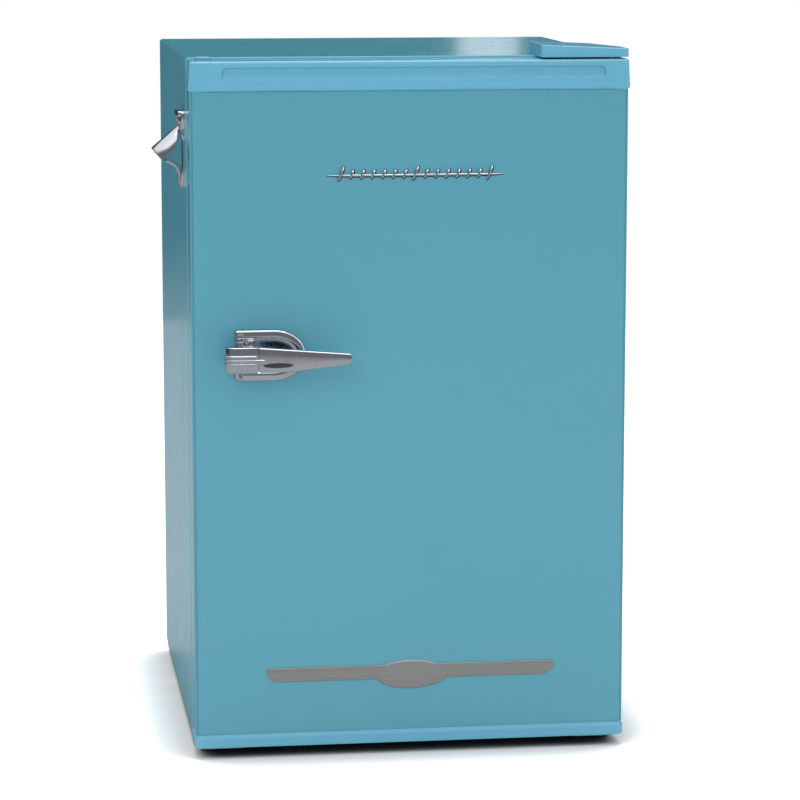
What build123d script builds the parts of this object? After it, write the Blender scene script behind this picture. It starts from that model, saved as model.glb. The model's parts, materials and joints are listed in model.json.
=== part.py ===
"""Compact single-door refrigerator with a chrome pull handle and a bottle opener on its left side.

Frame: +X to the right, +Y to the back, +Z up, in millimetres. The origin is on the floor, under the middle
of the whole object, so the opener on the left and the handle at the front shift the cabinet a little to the
right and to the back.
"""

import os
from math import cos, radians, sin

from build123d import *

# ---------------------------------------------------------------- driving dimensions
cabinet_width = 495.0
cabinet_depth = 484.0  # from the front flange to the back panel
cabinet_top = 795.0  # above the floor
cabinet_bottom = 12.0
door_thickness = 46.0
door_gap = 10.0  # between the door and the front flange, filled by the gasket
door_bottom = 13.0
door_top = cabinet_top - 2.0

handle_projection = 46.0
opener_projection = 37.0
condenser_reach = 22.0  # how far the condenser stands behind the back panel

side_insulation = 48.0
top_insulation = 50.0
floor_insulation = 45.0
back_insulation = 52.0

sheet = 0.8  # steel panels
pan_sheet = 1.5  # thicker steel of the base and the brackets
liner_wall = 1.6
bend = 4.0  # outer radius of the folded steel edges
front_flange = 30.0
fit_gap = 1.0  # clearance of loose pieces
rest_gap = 0.3  # clearance of close pieces on different bodies
screw_r = 2.0
screw_play = 0.4  # radial play of the screws' holes

# compressor recess at the bottom of the back
recess_depth = 172.0
recess_top = 190.0

# hinge
hinge_inset = 18.0  # hinge axis from the door's right side
hinge_setback = 22.0  # hinge axis from the door's front
hinge_pin_r = 4.0
pin_clearance = 0.08

# inside of the cabinet
freezer_width = 290.0
freezer_height = 95.0
freezer_depth = 270.0
freezer_setback = 147.0  # front of the freezer from the cabinet's front
freezer_drop = 7.0  # under the ceiling
shelf_setback = 124.0  # front of the shelves from the cabinet's front
shelf_glass = 4.0
upper_shelf_z = 490.0
lower_shelf_z = 366.0
crisper_cover_z = 236.0
ledge_reach = 9.0
ledge_height = 8.0

# door
door_sheet = 0.9
rebate_width = 3.5  # step along both long edges of the door's skin
rebate_depth = 3.0
top_cap_height = 34.0
bottom_cap_height = 15.0
dyke_depth = 22.0  # how far the door's inner face reaches into the cabinet
dyke_width = 28.0
dyke_inset = 8.0
bin_wall = 2.0
rack_side_gap = 4.0  # between a rack's end and the ring beside it

# ---------------------------------------------------------------- places worked out from them
total_depth = handle_projection + door_thickness + door_gap + cabinet_depth + condenser_reach
mid_x = opener_projection / 2
left = mid_x - cabinet_width / 2
right = mid_x + cabinet_width / 2
door_front = -total_depth / 2 + handle_projection
door_back = door_front + door_thickness
cabinet_front = door_back + door_gap
cabinet_back = cabinet_front + cabinet_depth

cavity_left = left + side_insulation
cavity_right = right - side_insulation
cavity_floor = cabinet_bottom + floor_insulation
cavity_ceiling = cabinet_top - top_insulation
cavity_back = cabinet_back - back_insulation
recess_front = cabinet_back - recess_depth
step_front = recess_front - floor_insulation
step_top = recess_top + 38.0
liner_lip = side_insulation - front_flange

hinge_x = right - hinge_inset
hinge_y = door_front + hinge_setback
hinge_screw_places = [
    (hinge_x - 46, cabinet_front + 16),
    (hinge_x - 22, cabinet_front + 16),
    (hinge_x - 34, cabinet_front + 40),
]
bracket_screw_places = [(x, cabinet_front + 34) for x in (left + 22, left + 48, right - 48, right - 22)]


# ---------------------------------------------------------------- small helpers
def block(x0, x1, y0, y1, z0, z1):
    """Box between two opposite corners."""
    return Pos((x0 + x1) / 2, (y0 + y1) / 2, (z0 + z1) / 2) * Box(x1 - x0, y1 - y0, z1 - z0)


def post(x, y, z0, z1, r):
    """Upright cylinder."""
    return Pos(x, y, (z0 + z1) / 2) * Cylinder(r, z1 - z0)


def rod_x(x0, x1, y, z, r):
    """Cylinder along X."""
    return Pos((x0 + x1) / 2, y, z) * Rot(0, 90, 0) * Cylinder(r, x1 - x0)


def rod_y(x, y0, y1, z, r):
    """Cylinder along Y."""
    return Pos(x, (y0 + y1) / 2, z) * Rot(90, 0, 0) * Cylinder(r, y1 - y0)


def soft_block(x0, x1, y0, y1, z0, z1, r, axis=Axis.Z):
    """Box whose edges along one axis are rounded."""
    solid = block(x0, x1, y0, y1, z0, z1)
    return fillet(solid.edges().filter_by(axis), r)


def tube(points, radius, bend_radius):
    """Round pipe along straight runs joined by arcs."""
    path = FilletPolyline(*points, radius=bend_radius)
    start = Plane(origin=path @ 0, z_dir=path % 0)
    return sweep(start * Circle(radius), path=path)


def tray(x0, x1, y0, y1, z0, z1, wall, corner, low=0.0):
    """Open-topped box with rounded upright corners and, where low is given, rounded bottom edges."""
    outside = soft_block(x0, x1, y0, y1, z0, z1, corner)
    inside = soft_block(x0 + wall, x1 - wall, y0 + wall, y1 - wall, z0 + wall, z1 + 1, corner - wall)
    if low:
        outside = fillet(outside.edges().group_by(Axis.Z)[0], low)
        inside = fillet(inside.edges().group_by(Axis.Z)[0], low - wall)
    return outside - inside


def screw(x, y, z, direction, head_r=4.2, head=2.2, shank=8.0, shank_r=screw_r):
    """Pan-head screw. Its head's underside is at the point, and the shank runs the opposite way."""
    body = Pos(0, 0, head / 2) * Cylinder(head_r, head)
    body = fillet(body.edges().group_by(Axis.Z)[-1], head * 0.45)
    slot = Pos(0, 0, head) * (Box(head_r * 1.1, 0.9, 1.6) + Box(0.9, head_r * 1.1, 1.6))
    body = body - slot + Pos(0, 0, -shank / 2) * Cylinder(shank_r, shank)
    return Plane(origin=(x, y, z), z_dir=direction) * body


def screw_holes(places, z):
    """Upright holes for screws, through thin steel and the insulation around z."""
    return Compound(children=[post(x, y, z - 12, z + 12, screw_r + screw_play) for x, y in places])


# ---------------------------------------------------------------- cabinet
def shell_space(inset, back):
    """The cabinet's outer block, or the space inside it when inset by the sheet's thickness."""
    solid = block(
        left + inset, right - inset, cabinet_front + inset, back, cabinet_bottom, cabinet_top - inset
    )
    r = bend - inset
    solid = fillet(solid.edges().filter_by(Axis.Y).group_by(Axis.Z)[-1], r)
    front_uprights = solid.edges().filter_by(Axis.Z).group_by(Axis.Y)[0]
    front_top = solid.edges().filter_by(Axis.X).group_by(Axis.Z)[-1].sort_by(Axis.Y)[0]
    return fillet([*front_uprights, front_top], r * 0.8)


def front_window():
    """The opening in the shell's front flange."""
    return block(
        left + front_flange,
        right - front_flange,
        cabinet_front - 1,
        cabinet_front + sheet + 1,
        cabinet_bottom - 1,
        cabinet_top - front_flange,
    )


def make_outer_shell():
    """Painted steel wrap: two sides and the top in one folded sheet, with flanges round the front."""
    shell = shell_space(0, cabinet_back) - shell_space(sheet, cabinet_back + 1)
    shell -= block(left + sheet, right - sheet, cabinet_front + sheet, cabinet_back + 1,
                   cabinet_bottom - 1, cabinet_bottom + 1)
    shell -= front_window()
    heel = Plane.YZ * make_face(
        Polyline(
            (cabinet_back - 36, cabinet_bottom - 1),
            (cabinet_back + 1, cabinet_bottom - 1),
            (cabinet_back + 1, cabinet_bottom + 9),
            (cabinet_back - 2, cabinet_bottom + 7),
            close=True,
        )
    )
    shell -= extrude(heel, cabinet_width, both=True)
    return shell - screw_holes(hinge_screw_places, cabinet_top)


def food_space(grow, front):
    """The space for food, grown on every side but the front, with the step over the compressor."""
    r = 9.0 + grow
    solid = block(
        cavity_left - grow,
        cavity_right + grow,
        front,
        cavity_back + grow,
        cavity_floor - grow,
        cavity_ceiling + grow,
    )
    lengthwise = solid.edges().filter_by(Axis.Y)
    rear = solid.faces().sort_by(Axis.Y)[-1].edges()
    solid = fillet([*lengthwise, *rear], r)
    step = block(
        cavity_left - 50,
        cavity_right + 50,
        step_front + grow,
        cabinet_back + 50,
        cabinet_bottom - 50,
        step_top - grow,
    )
    nose = step.edges().filter_by(Axis.X).group_by(Axis.Z)[-1].sort_by(Axis.Y)[0]
    return solid - fillet(nose, 12.0 - grow)


def liner_rim():
    """Front rim of the liner, between its opening and the shell's flange."""
    rim = block(
        left + front_flange,
        right - front_flange,
        cabinet_front,
        cabinet_front + liner_wall,
        cavity_floor - liner_lip,
        cabinet_top - front_flange,
    )
    return rim - food_space(0, cabinet_front - 1)


ledge_levels = [upper_shelf_z + 60, upper_shelf_z, lower_shelf_z + 62, lower_shelf_z, lower_shelf_z - 60]
tray_ledge_z = cavity_ceiling - freezer_drop - freezer_height - 28
drain_x = mid_x + 70
drain_y = cavity_back - 22
drain_r = 6.0


def make_ledges():
    """Moulded rails that the shelves and the chiller tray rest on, five levels and one for the tray."""
    rails = []
    front = cabinet_front + 90
    for z in [*ledge_levels, tray_ledge_z, crisper_cover_z]:
        for wall, inward in ((cavity_left, 1), (cavity_right, -1)):
            tip = wall + inward * ledge_reach
            x0, x1 = sorted((wall - inward * liner_wall / 2, tip))
            rail = block(x0, x1, front, cavity_back - 25, z - ledge_height, z)
            nose = rail.edges().filter_by(Axis.Z).group_by(Axis.Y)[0]
            nose = nose.sort_by(Axis.X)[-1] if inward > 0 else nose.sort_by(Axis.X)[0]
            rail = fillet(nose, ledge_reach * 0.8)
            rails.append(rail)
    return rails


def make_inner_liner():
    """White inner liner: five walls, the step, the front rim and the shelf rails, with the drain hole."""
    liner = food_space(liner_wall, cabinet_front) - food_space(0, cabinet_front - 1)
    liner += liner_rim()
    for rail in make_ledges():
        liner += rail
    return liner - post(drain_x, drain_y, step_top - 20, step_top + 5, drain_r)


def make_base_pan():
    """Steel floor under the liner, with an upturn that closes the front flange at the bottom."""
    floor = shell_space(sheet, cabinet_back) & block(
        left, right, cabinet_front, recess_front, cabinet_bottom, cabinet_bottom + pan_sheet
    )
    upturn = block(left + front_flange, right - front_flange, cabinet_front, cabinet_front + sheet,
                   cabinet_bottom, cavity_floor - liner_lip)
    return floor + upturn - screw_holes(bracket_screw_places, cabinet_bottom)


def make_back_panel():
    """Flat steel back above the compressor recess, stiffened by two pressed beads."""
    panel = shell_space(sheet, cabinet_back) & block(
        left, right, cabinet_back - sheet, cabinet_back, recess_top, cabinet_top
    )
    for offset in (-0.25, 0.25):
        x = mid_x + offset * cabinet_width
        panel += block(x - 9, x + 9, cabinet_back - sheet, cabinet_back + 1.2,
                       recess_top + 60, cabinet_top - 60)
    return panel


def make_recess_panel():
    """Folded steel that roofs the compressor recess and closes its front."""
    roof = block(left + sheet, right - sheet, recess_front, cabinet_back, recess_top - sheet, recess_top)
    wall = block(left + sheet, right - sheet, recess_front, recess_front + sheet, cabinet_bottom, recess_top)
    panel = roof + wall
    return panel - post(drain_x, drain_y, recess_top - 5, recess_top + 5, drain_r)


def make_cabinet_foam(liner, pan, back, recess):
    """Insulation between the shell and the liner."""
    foam = shell_space(sheet, cabinet_back - sheet)
    foam -= food_space(liner_wall, cabinet_front - 1)
    foam -= block(left, right, recess_front, cabinet_back + 1, 0, recess_top)
    foam -= block(left, right, cabinet_front - 1, cabinet_back, 0, cabinet_bottom + pan_sheet)
    foam -= post(drain_x, drain_y, recess_top - 5, step_top + 5, drain_r)
    foam -= screw_holes(hinge_screw_places, cabinet_top)
    foam -= screw_holes(bracket_screw_places, cabinet_bottom)
    return foam - liner - pan - back - recess


# ---------------------------------------------------------------- refrigeration in the recess and on the back
plate_top = cabinet_bottom + pan_sheet
plate_rear = cabinet_back - 2.0
compressor_x = mid_x - 70.0
compressor_y = recess_front + 84.0
compressor_rx = 88.0
compressor_ry = 60.0
compressor_z0 = 31.0
compressor_z1 = 148.0
foot_x = 76.0  # half spacing of the compressor's mounting bolts
foot_y = 46.0
grommet_height = 13.0
gland_x = mid_x + 150.0
gland_z = plate_top + 16.0
gland_bore_r = 3.8
gland_length = 12.0
pipe_r = 3.2


def compressor_feet_places():
    return [(compressor_x + i * foot_x, compressor_y + j * foot_y) for i in (-1, 1) for j in (-1, 1)]


def make_compressor_plate():
    """Steel plate across the bottom of the recess, turned up at the back to hold the cord's grommet."""
    plate = block(left + sheet, right - sheet, recess_front + 12, plate_rear, cabinet_bottom, plate_top)
    plate += block(left + sheet, right - sheet, plate_rear - pan_sheet, plate_rear,
                   cabinet_bottom, plate_top + 30)
    window = soft_block(compressor_x - 95, compressor_x + 95, plate_rear - 5, plate_rear + 5,
                        plate_top + 6, plate_top + 40, 5, Axis.Y)
    plate -= window
    for x, y in compressor_feet_places():
        plate -= post(x, y, cabinet_bottom - 1, plate_top + 1, 3.2)
    return plate - rod_y(gland_x, plate_rear - 5, plate_rear + 5, gland_z, gland_bore_r + 2.2)


def make_cord_grommet():
    """Moulded gland where a mains cord enters, a bush with a flange on each side of the plate."""
    middle = plate_rear - pan_sheet / 2
    bush = rod_y(gland_x, middle - gland_length / 2, middle + gland_length / 2, gland_z, gland_bore_r + 2.2)
    for y0, y1 in ((plate_rear, plate_rear + 2.5), (plate_rear - pan_sheet - 2.5, plate_rear - pan_sheet)):
        bush += rod_y(gland_x, y0, y1, gland_z, gland_bore_r + 4.6)
    return bush - rod_y(gland_x, middle - gland_length, middle + gland_length, gland_z, gland_bore_r)


def make_compressor():
    """Hermetic compressor: two deep-drawn oval halves with the weld flange between them, on two straps."""
    oval = Plane.XY.offset(compressor_z0) * Ellipse(compressor_rx, compressor_ry)
    can = extrude(oval, compressor_z1 - compressor_z0)
    rims = can.edges().group_by(Axis.Z)
    can = fillet([*rims[0], *rims[-1]], 26.0)
    middle = (compressor_z0 + compressor_z1) / 2 - 8
    can += extrude(Plane.XY.offset(middle) * Ellipse(compressor_rx + 3.5, compressor_ry + 3.5), 4.0)
    return Pos(compressor_x, compressor_y, 0) * can + compressor_strap(-1) + compressor_strap(1)


def compressor_strap(side):
    """Steel strap welded under the compressor, with the holes of two of its mounts."""
    x = compressor_x + side * foot_x
    z0 = plate_top + grommet_height
    strap = soft_block(x - 15, x + 15, compressor_y - foot_y - 15, compressor_y + foot_y + 15,
                       z0, z0 + 2.5, 10)
    inner = x - side * 34
    strap += block(inner - 19, inner + 19, compressor_y - 30, compressor_y + 30, z0, z0 + 2.5)
    strap += block(inner - 10, inner + 10, compressor_y - 20, compressor_y + 20, z0, compressor_z0 + 12)
    for j in (-1, 1):
        strap -= post(x, compressor_y + j * foot_y, z0 - 1, z0 + 5, 5.0)
    return strap


def make_compressor_grommets():
    """Four rubber mounts with a waist, which isolate the compressor from its plate."""
    mounts = []
    for x, y in compressor_feet_places():
        mount = post(x, y, plate_top, plate_top + grommet_height, 11.0)
        groove = post(x, y, plate_top + 4.5, plate_top + 8.5, 12.0)
        groove -= post(x, y, plate_top, plate_top + 13, 8.5)
        mounts.append(mount - groove - post(x, y, plate_top - 1, plate_top + grommet_height + 1, 3.3))
    return Compound(children=mounts)


def make_compressor_bolts():
    """Four bolts with a washer and nut over the rubber mounts."""
    bolts = []
    seat = plate_top + grommet_height + 2.5
    for x, y in compressor_feet_places():
        nut = extrude(Plane(origin=(x, y, seat + 1.6)) * RegularPolygon(5.4, 6), 5.0)
        washer = post(x, y, seat, seat + 1.6, 9.0)
        head = extrude(Plane(origin=(x, y, cabinet_bottom - 3.5)) * RegularPolygon(5.4, 6), 3.5)
        bolts.append(post(x, y, cabinet_bottom, seat + 9, 3.0) + nut + washer + head)
    return Compound(children=bolts)


def make_terminal_cover(compressor):
    """Plastic cover over the compressor's relay and overload protector."""
    x0 = compressor_x + compressor_rx - 3
    cover = soft_block(x0 - 6, x0 + 34, compressor_y - 27, compressor_y + 27, 62, 124, 6, Axis.X)
    cover = fillet(cover.faces().sort_by(Axis.X)[-1].edges(), 3.0)
    cover -= soft_block(x0 - 8, x0 + 32, compressor_y - 25, compressor_y + 25, 64, 122, 4, Axis.X)
    return cover - compressor


drier_x = mid_x + 110.0
drier_y = recess_front + 60.0
drier_r = 9.0


def make_filter_drier():
    """Copper drier capsule with spun ends, standing beside the compressor."""
    body = post(drier_x, drier_y, 66, 150, drier_r)
    body = fillet(body.edges(), drier_r * 0.9)
    return body + post(drier_x, drier_y, 58, 158, pipe_r)


coil_pitch = 38.0
coil_passes = 14
coil_y = cabinet_back + condenser_reach - 4.3
coil_r = 2.4
coil_half = 196.0
coil_z0 = recess_top + 34.0
wire_r = 0.8
wire_pitch = 14.0
weld_gap = 0.05


def coil_levels():
    return [coil_z0 + i * coil_pitch for i in range(coil_passes)]


def make_condenser_coil():
    """Steel tube bent into level passes across the back."""
    edges = []
    levels = coil_levels()
    side = 1
    for low, high in zip(levels, levels[1:]):
        end = mid_x + side * coil_half
        edges.append(Line((mid_x - side * coil_half, coil_y, low), (end, coil_y, low)))
        crown = end + side * coil_pitch / 2
        middle = (crown, coil_y, (low + high) / 2)
        edges.append(ThreePointArc((end, coil_y, low), middle, (end, coil_y, high)))
        side = -side
    top = levels[-1]
    edges.append(Line((mid_x - side * coil_half, coil_y, top), (mid_x + side * coil_half, coil_y, top)))
    path = Wire(edges)
    start = Plane(origin=path @ 0, z_dir=path % 0)
    return sweep(start * Circle(coil_r), path=path)


def make_condenser_wires():
    """Steel wires welded across the coil, one row on each side of it."""
    wires = []
    low, high = coil_levels()[0] - 14, coil_levels()[-1] + 14
    count = int(2 * (coil_half - 8) / wire_pitch)
    first = mid_x - (count - 1) * wire_pitch / 2
    for row in (-1, 1):
        y = coil_y + row * (coil_r + wire_r + weld_gap)
        for i in range(count):
            wires.append(post(first + i * wire_pitch, y, low, high, wire_r))
    return Compound(children=wires)


def make_condenser_brackets():
    """Four folded tabs that hold the coil off the back panel, each with its screw."""
    tabs = []
    levels = coil_levels()
    for z in (levels[1], levels[-2]):
        for side in (-1, 1):
            x = mid_x + side * (coil_half - 3)
            foot = soft_block(x - 8, x + 8, cabinet_back, cabinet_back + 1.2, z - 14, z + 14, 3, Axis.Y)
            arm = block(x - 8, x + 8, cabinet_back + 1.2, coil_y - coil_r - weld_gap, z - 3, z + 3)
            head = rod_y(x, cabinet_back + 1.2, cabinet_back + 3.4, z - 9, 3.2)
            tabs.append(foot + arm + head)
    return Compound(children=tabs)


def make_drip_pan():
    """Plastic pan over the compressor where the meltwater evaporates."""
    z0 = compressor_z1 + 1
    pan = tray(compressor_x - 80, drain_x + 22, compressor_y - 52, plate_rear - 6, z0, z0 + 26, 1.8, 12)
    return pan


def make_drain_tube():
    """Tube that leads meltwater from the liner's drain hole down into the pan."""
    funnel = post(drain_x, drain_y, step_top - liner_wall, step_top, drain_r)
    z0 = compressor_z1 + 12
    pipe = post(drain_x, drain_y, z0, step_top - liner_wall, drain_r)
    return funnel + pipe - post(drain_x, drain_y, z0 - 1, step_top + 1, drain_r - 1.2)


def make_refrigerant_pipes(*joined):
    """Copper pipes between the compressor, the condenser and the drier, and the sealed charging stub."""
    top = compressor_z0 + 78
    near = compressor_y + compressor_ry - 8
    coil_start = (mid_x - coil_half, coil_y, coil_levels()[0])
    discharge = tube(
        [
            (compressor_x - 30, near - 6, top),
            (compressor_x - 30, near + 24, top),
            (left + 34, near + 24, top + 8),
            (left + 34, coil_y, top + 30),
            (left + 34, coil_y, coil_start[2]),
            coil_start,
        ],
        pipe_r * 0.7,
        9,
    )
    stub = tube(
        [
            (compressor_x + 20, near - 6, top - 22),
            (compressor_x + 20, near + 20, top - 22),
            (compressor_x + 62, near + 20, top - 22),
        ],
        pipe_r,
        8,
    )
    liquid = tube(
        [
            (drier_x, drier_y, 60),
            (drier_x, drier_y, 40),
            (drier_x + 40, drier_y + 30, 40),
            (right - 34, near + 20, 60),
            (right - 34, near + 20, recess_top - sheet),
        ],
        pipe_r * 0.7,
        8,
    )
    suction = tube(
        [
            (drier_x, drier_y, 156),
            (drier_x, drier_y, 172),
            (drier_x + 30, drier_y, 174),
            (drier_x + 30, drier_y, recess_top - sheet),
        ],
        pipe_r * 0.6,
        4,
    )
    pipes = []
    for pipe in (discharge, stub, liquid, suction):
        for piece in joined:
            pipe -= piece
        pipes.append(pipe)
    return Compound(children=pipes)


# ---------------------------------------------------------------- feet and hinges
foot_r = 11.0
foot_sole_r = 7.0
foot_height = 8.5
foot_inset = 16.0
foot_stem_r = 4.0
bracket_drop = 2.5
front_feet = {"left_foot": left + foot_inset, "right_foot": right - foot_inset}
front_foot_y = hinge_y + 20.0


def make_levelling_foot(x):
    """Levelling foot: a knurled disc over a tapered sole, on a stem that turns in the bracket above it."""
    sole = Pos(x, front_foot_y, 2.5) * Cone(foot_sole_r, foot_r, 5.0)
    disc = post(x, front_foot_y, 5.0, foot_height, foot_r)
    for i in range(16):
        a = radians(22.5 * i)
        disc -= post(x + foot_r * cos(a), front_foot_y + foot_r * sin(a), 4.9, foot_height + 0.1, 1.1)
    return sole + disc + post(x, front_foot_y, foot_height - 1, cabinet_bottom - rest_gap, foot_stem_r)


def foot_bracket(x_out, x_in):
    """Steel plate screwed under the cabinet that reaches forward under the door."""
    z0 = cabinet_bottom - bracket_drop
    x0, x1 = sorted((x_out, x_in))
    plate = soft_block(x0, x1, door_front + 9, cabinet_front + 60, z0, cabinet_bottom, 9)
    return plate


def make_left_foot_bracket():
    plate = foot_bracket(left + 3, left + 60)
    plate -= post(front_feet["left_foot"], front_foot_y, 0, cabinet_bottom + 1, foot_stem_r + pin_clearance)
    return plate - screw_holes(bracket_screw_places, cabinet_bottom)


def make_lower_hinge():
    """Lower hinge: steel plate with the pin that carries the door, and the right foot's threaded hole."""
    plate = foot_bracket(right - 60, right - 3) - screw_holes(bracket_screw_places, cabinet_bottom)
    plate -= post(front_feet["right_foot"], front_foot_y, 0, cabinet_bottom + 1, foot_stem_r + pin_clearance)
    pin = post(hinge_x, hinge_y, cabinet_bottom, door_bottom + bottom_cap_height - 3, hinge_pin_r)
    collar = post(hinge_x, hinge_y, cabinet_bottom, door_bottom - rest_gap, hinge_pin_r + 3)
    return plate + collar + fillet(pin.edges().group_by(Axis.Z)[-1], 1.0)


hinge_plate = 2.5
upper_pin_z0 = door_top - 20.0


def make_upper_hinge():
    """Upper hinge: cranked steel plate on the cabinet's top with the pin that enters the door."""
    z0, z1 = cabinet_top, cabinet_top + hinge_plate
    wing = soft_block(hinge_x - 56, hinge_x - 12, cabinet_front + 6, cabinet_front + 50, z0, z1, 6)
    arm = soft_block(hinge_x - 34, hinge_x + 8, hinge_y - 9, cabinet_front + 14, z0, z1, 8)
    pin = post(hinge_x, hinge_y, upper_pin_z0, z1, hinge_pin_r)
    plate = wing + arm + fillet(pin.edges().group_by(Axis.Z)[0], 1.0)
    return plate - screw_holes(hinge_screw_places, cabinet_top)


cover_length = 100.0
cover_rise_left = 14.0
cover_rise_right = 9.5
cover_front = door_front + 2.0
cover_corner = cabinet_front - 6.0  # where its right side turns inwards
cover_back = cabinet_front + 58.0


def cover_outline(inset):
    """Plan of the hinge cover, cut off at its rear right corner."""
    x0 = right - cover_length + inset
    x1 = right - inset
    y0 = cover_front + inset
    y1 = cover_back - inset
    return make_face(
        Polyline((x0, y0), (x1, y0), (x1, cover_corner + inset), (x1 - 26, y1), (x0 + 5, y1), close=True)
    )


def cover_roof(drop):
    """Everything under the cover's sloping top."""
    x0, x1 = right - cover_length, right
    roof = Plane.XZ * make_face(
        Polyline(
            (x0 - 1, cabinet_top - 20),
            (x1 + 1, cabinet_top - 20),
            (x1 + 1, cabinet_top + cover_rise_right - drop),
            (x0 - 1, cabinet_top + cover_rise_left - drop),
            close=True,
        )
    )
    return extrude(roof, 2 * total_depth, both=True)


def make_hinge_cover():
    """Moulded cover over the upper hinge, higher at its inner end, hollow underneath."""
    z0 = cabinet_top
    outside = extrude(Plane.XY.offset(z0) * cover_outline(0), 30) & cover_roof(0)
    outside = fillet(outside.edges().filter_by(Axis.Z), 4.0)
    top = outside.faces().sort_by(Axis.Z)[-1]
    outside = fillet(top.edges(), 1.8)
    hollow = extrude(Plane.XY.offset(z0 - 1) * cover_outline(1.6), 30) & cover_roof(1.6)
    return outside - hollow


def make_hinge_screws():
    """Screws of the upper hinge, of the lower hinge and of the left foot's bracket."""
    screws = [screw(x, y, cabinet_top + hinge_plate, (0, 0, 1), shank=6) for x, y in hinge_screw_places]
    z0 = cabinet_bottom - bracket_drop
    for x, y in bracket_screw_places:
        screws.append(screw(x, y, z0, (0, 0, -1), shank=6))
    return Compound(children=screws)


def make_rear_feet():
    """Two moulded feet under the compressor plate, with a runner shape to slide on."""
    feet = []
    for x in (left + 34, right - 34):
        foot = block(x - 16, x + 16, plate_rear - 50, plate_rear - 14, 0, cabinet_bottom)
        runner = foot.edges().filter_by(Axis.X).group_by(Axis.Z)[0]
        foot = fillet(runner, 5.0)
        feet.append(fillet(foot.edges().filter_by(Axis.Z), 3.0))
    return Compound(children=feet)


# ---------------------------------------------------------------- freezer box, thermostat, shelves and drawer
freezer_left = cavity_left + 12
freezer_right = freezer_left + freezer_width
freezer_top = cavity_ceiling - freezer_drop
freezer_bottom = freezer_top - freezer_height
freezer_front = cabinet_front + freezer_setback
freezer_back = freezer_front + freezer_depth
freezer_sheet = 1.5
frame_depth = 14.0
flap_thickness = 4.0
flap_pin_r = 2.5
flap_barrel_r = flap_pin_r + 1.0
flap_y = freezer_front - frame_depth - flap_barrel_r - 0.6
flap_pin_z = freezer_top - 5.0


def box_section(x0, x1, y0, y1, z0, z1, wall, corner):
    """Square tube along Y with rounded corners."""
    outside = soft_block(x0, x1, y0, y1, z0, z1, corner, Axis.Y)
    inside = soft_block(x0 + wall, x1 - wall, y0 - 1, y1 + 1, z0 + wall, z1 - wall, corner - wall, Axis.Y)
    return outside - inside


def make_evaporator_box():
    """Aluminium evaporator folded into the freezer box, closed at the back and hung from four posts."""
    inner_top = freezer_top - 3
    shell = box_section(freezer_left, freezer_right, freezer_front, freezer_back, freezer_bottom,
                        inner_top, freezer_sheet, 10)
    back = soft_block(freezer_left, freezer_right, freezer_back - freezer_sheet, freezer_back,
                      freezer_bottom, inner_top, 10, Axis.Y)
    shell += back
    for x in (freezer_left + 30, freezer_right - 30):
        for y in (freezer_front + 30, freezer_back - 30):
            shell += post(x, y, inner_top - 0.5, cavity_ceiling, 5)
    for i in range(5):
        x = freezer_left + freezer_width * (i + 1) / 6
        shell += rod_y(x, freezer_front + 20, freezer_back - 20, freezer_bottom + 0.6, 2.6) - block(
            x - 5, x + 5, freezer_front, freezer_back, freezer_bottom + freezer_sheet / 2, freezer_bottom + 5
        )
    return shell


def make_freezer_frame():
    """White surround at the mouth of the freezer box, with the ears that hold the flap's pins."""
    y0, y1 = freezer_front - frame_depth, freezer_front
    frame = box_section(freezer_left - 4, freezer_right + 4, y0, y1,
                        freezer_bottom - 4, freezer_top + 1, 9, 12)
    for x0, x1 in ((freezer_left - 4, freezer_left + 1), (freezer_right - 1, freezer_right + 4)):
        ear = block(x0, x1, flap_y - 5, y0 + 2, flap_pin_z - 5, flap_pin_z + 5)
        frame += fillet(ear.edges().filter_by(Axis.X).group_by(Axis.Y)[0], 4.0)
    bore = rod_x(freezer_left - 10, freezer_right + 10, flap_y, flap_pin_z, flap_pin_r + pin_clearance)
    return frame - bore


def make_freezer_flap():
    """Freezer door that hangs from two pins in its top edge and swings forward and up."""
    x0, x1 = freezer_left + 1.5, freezer_right - 1.5
    z0 = freezer_bottom + 2
    y0, y1 = flap_y - flap_thickness / 2, flap_y + flap_thickness / 2
    panel = soft_block(x0, x1, y0, y1, z0, flap_pin_z, 6, Axis.Y)
    rim = soft_block(x0 + 12, x1 - 12, y0 - 2, y0 + 1, z0 + 10, flap_pin_z - 14, 8, Axis.Y)
    rim -= soft_block(x0 + 15, x1 - 15, y0 - 3, y0 + 2, z0 + 13, flap_pin_z - 17, 6, Axis.Y)
    barrel = rod_x(x0, x1, flap_y, flap_pin_z, flap_barrel_r)
    pins = rod_x(freezer_left - 3.5, freezer_right + 3.5, flap_y, flap_pin_z, flap_pin_r)
    grip = soft_block(mid_x - 80, mid_x - 10, y0 - 8, y0 + 1, z0 + 3, z0 + 7, 3)
    return panel + rim + barrel + pins + grip


ice_cells = (6, 2)
ice_pitch = 34.0
ice_height = 30.0


def make_ice_tray():
    """Ice tray with two rows of tapered pockets."""
    nx, ny = ice_cells
    x0 = freezer_left + 34
    y0 = freezer_front + 26
    z0 = freezer_bottom + freezer_sheet
    body = soft_block(x0, x0 + nx * ice_pitch + 8, y0, y0 + ny * ice_pitch + 8, z0, z0 + ice_height, 8)
    pocket = Plane.XY.offset(z0 + ice_height) * RectangleRounded(ice_pitch - 4, ice_pitch - 4, 5)
    pocket = extrude(pocket, -(ice_height - 3), taper=9)
    for i in range(nx):
        for j in range(ny):
            body -= Pos(x0 + 4 + (i + 0.5) * ice_pitch, y0 + 4 + (j + 0.5) * ice_pitch, 0) * pocket
    return body


tray_height = 20.0


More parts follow.
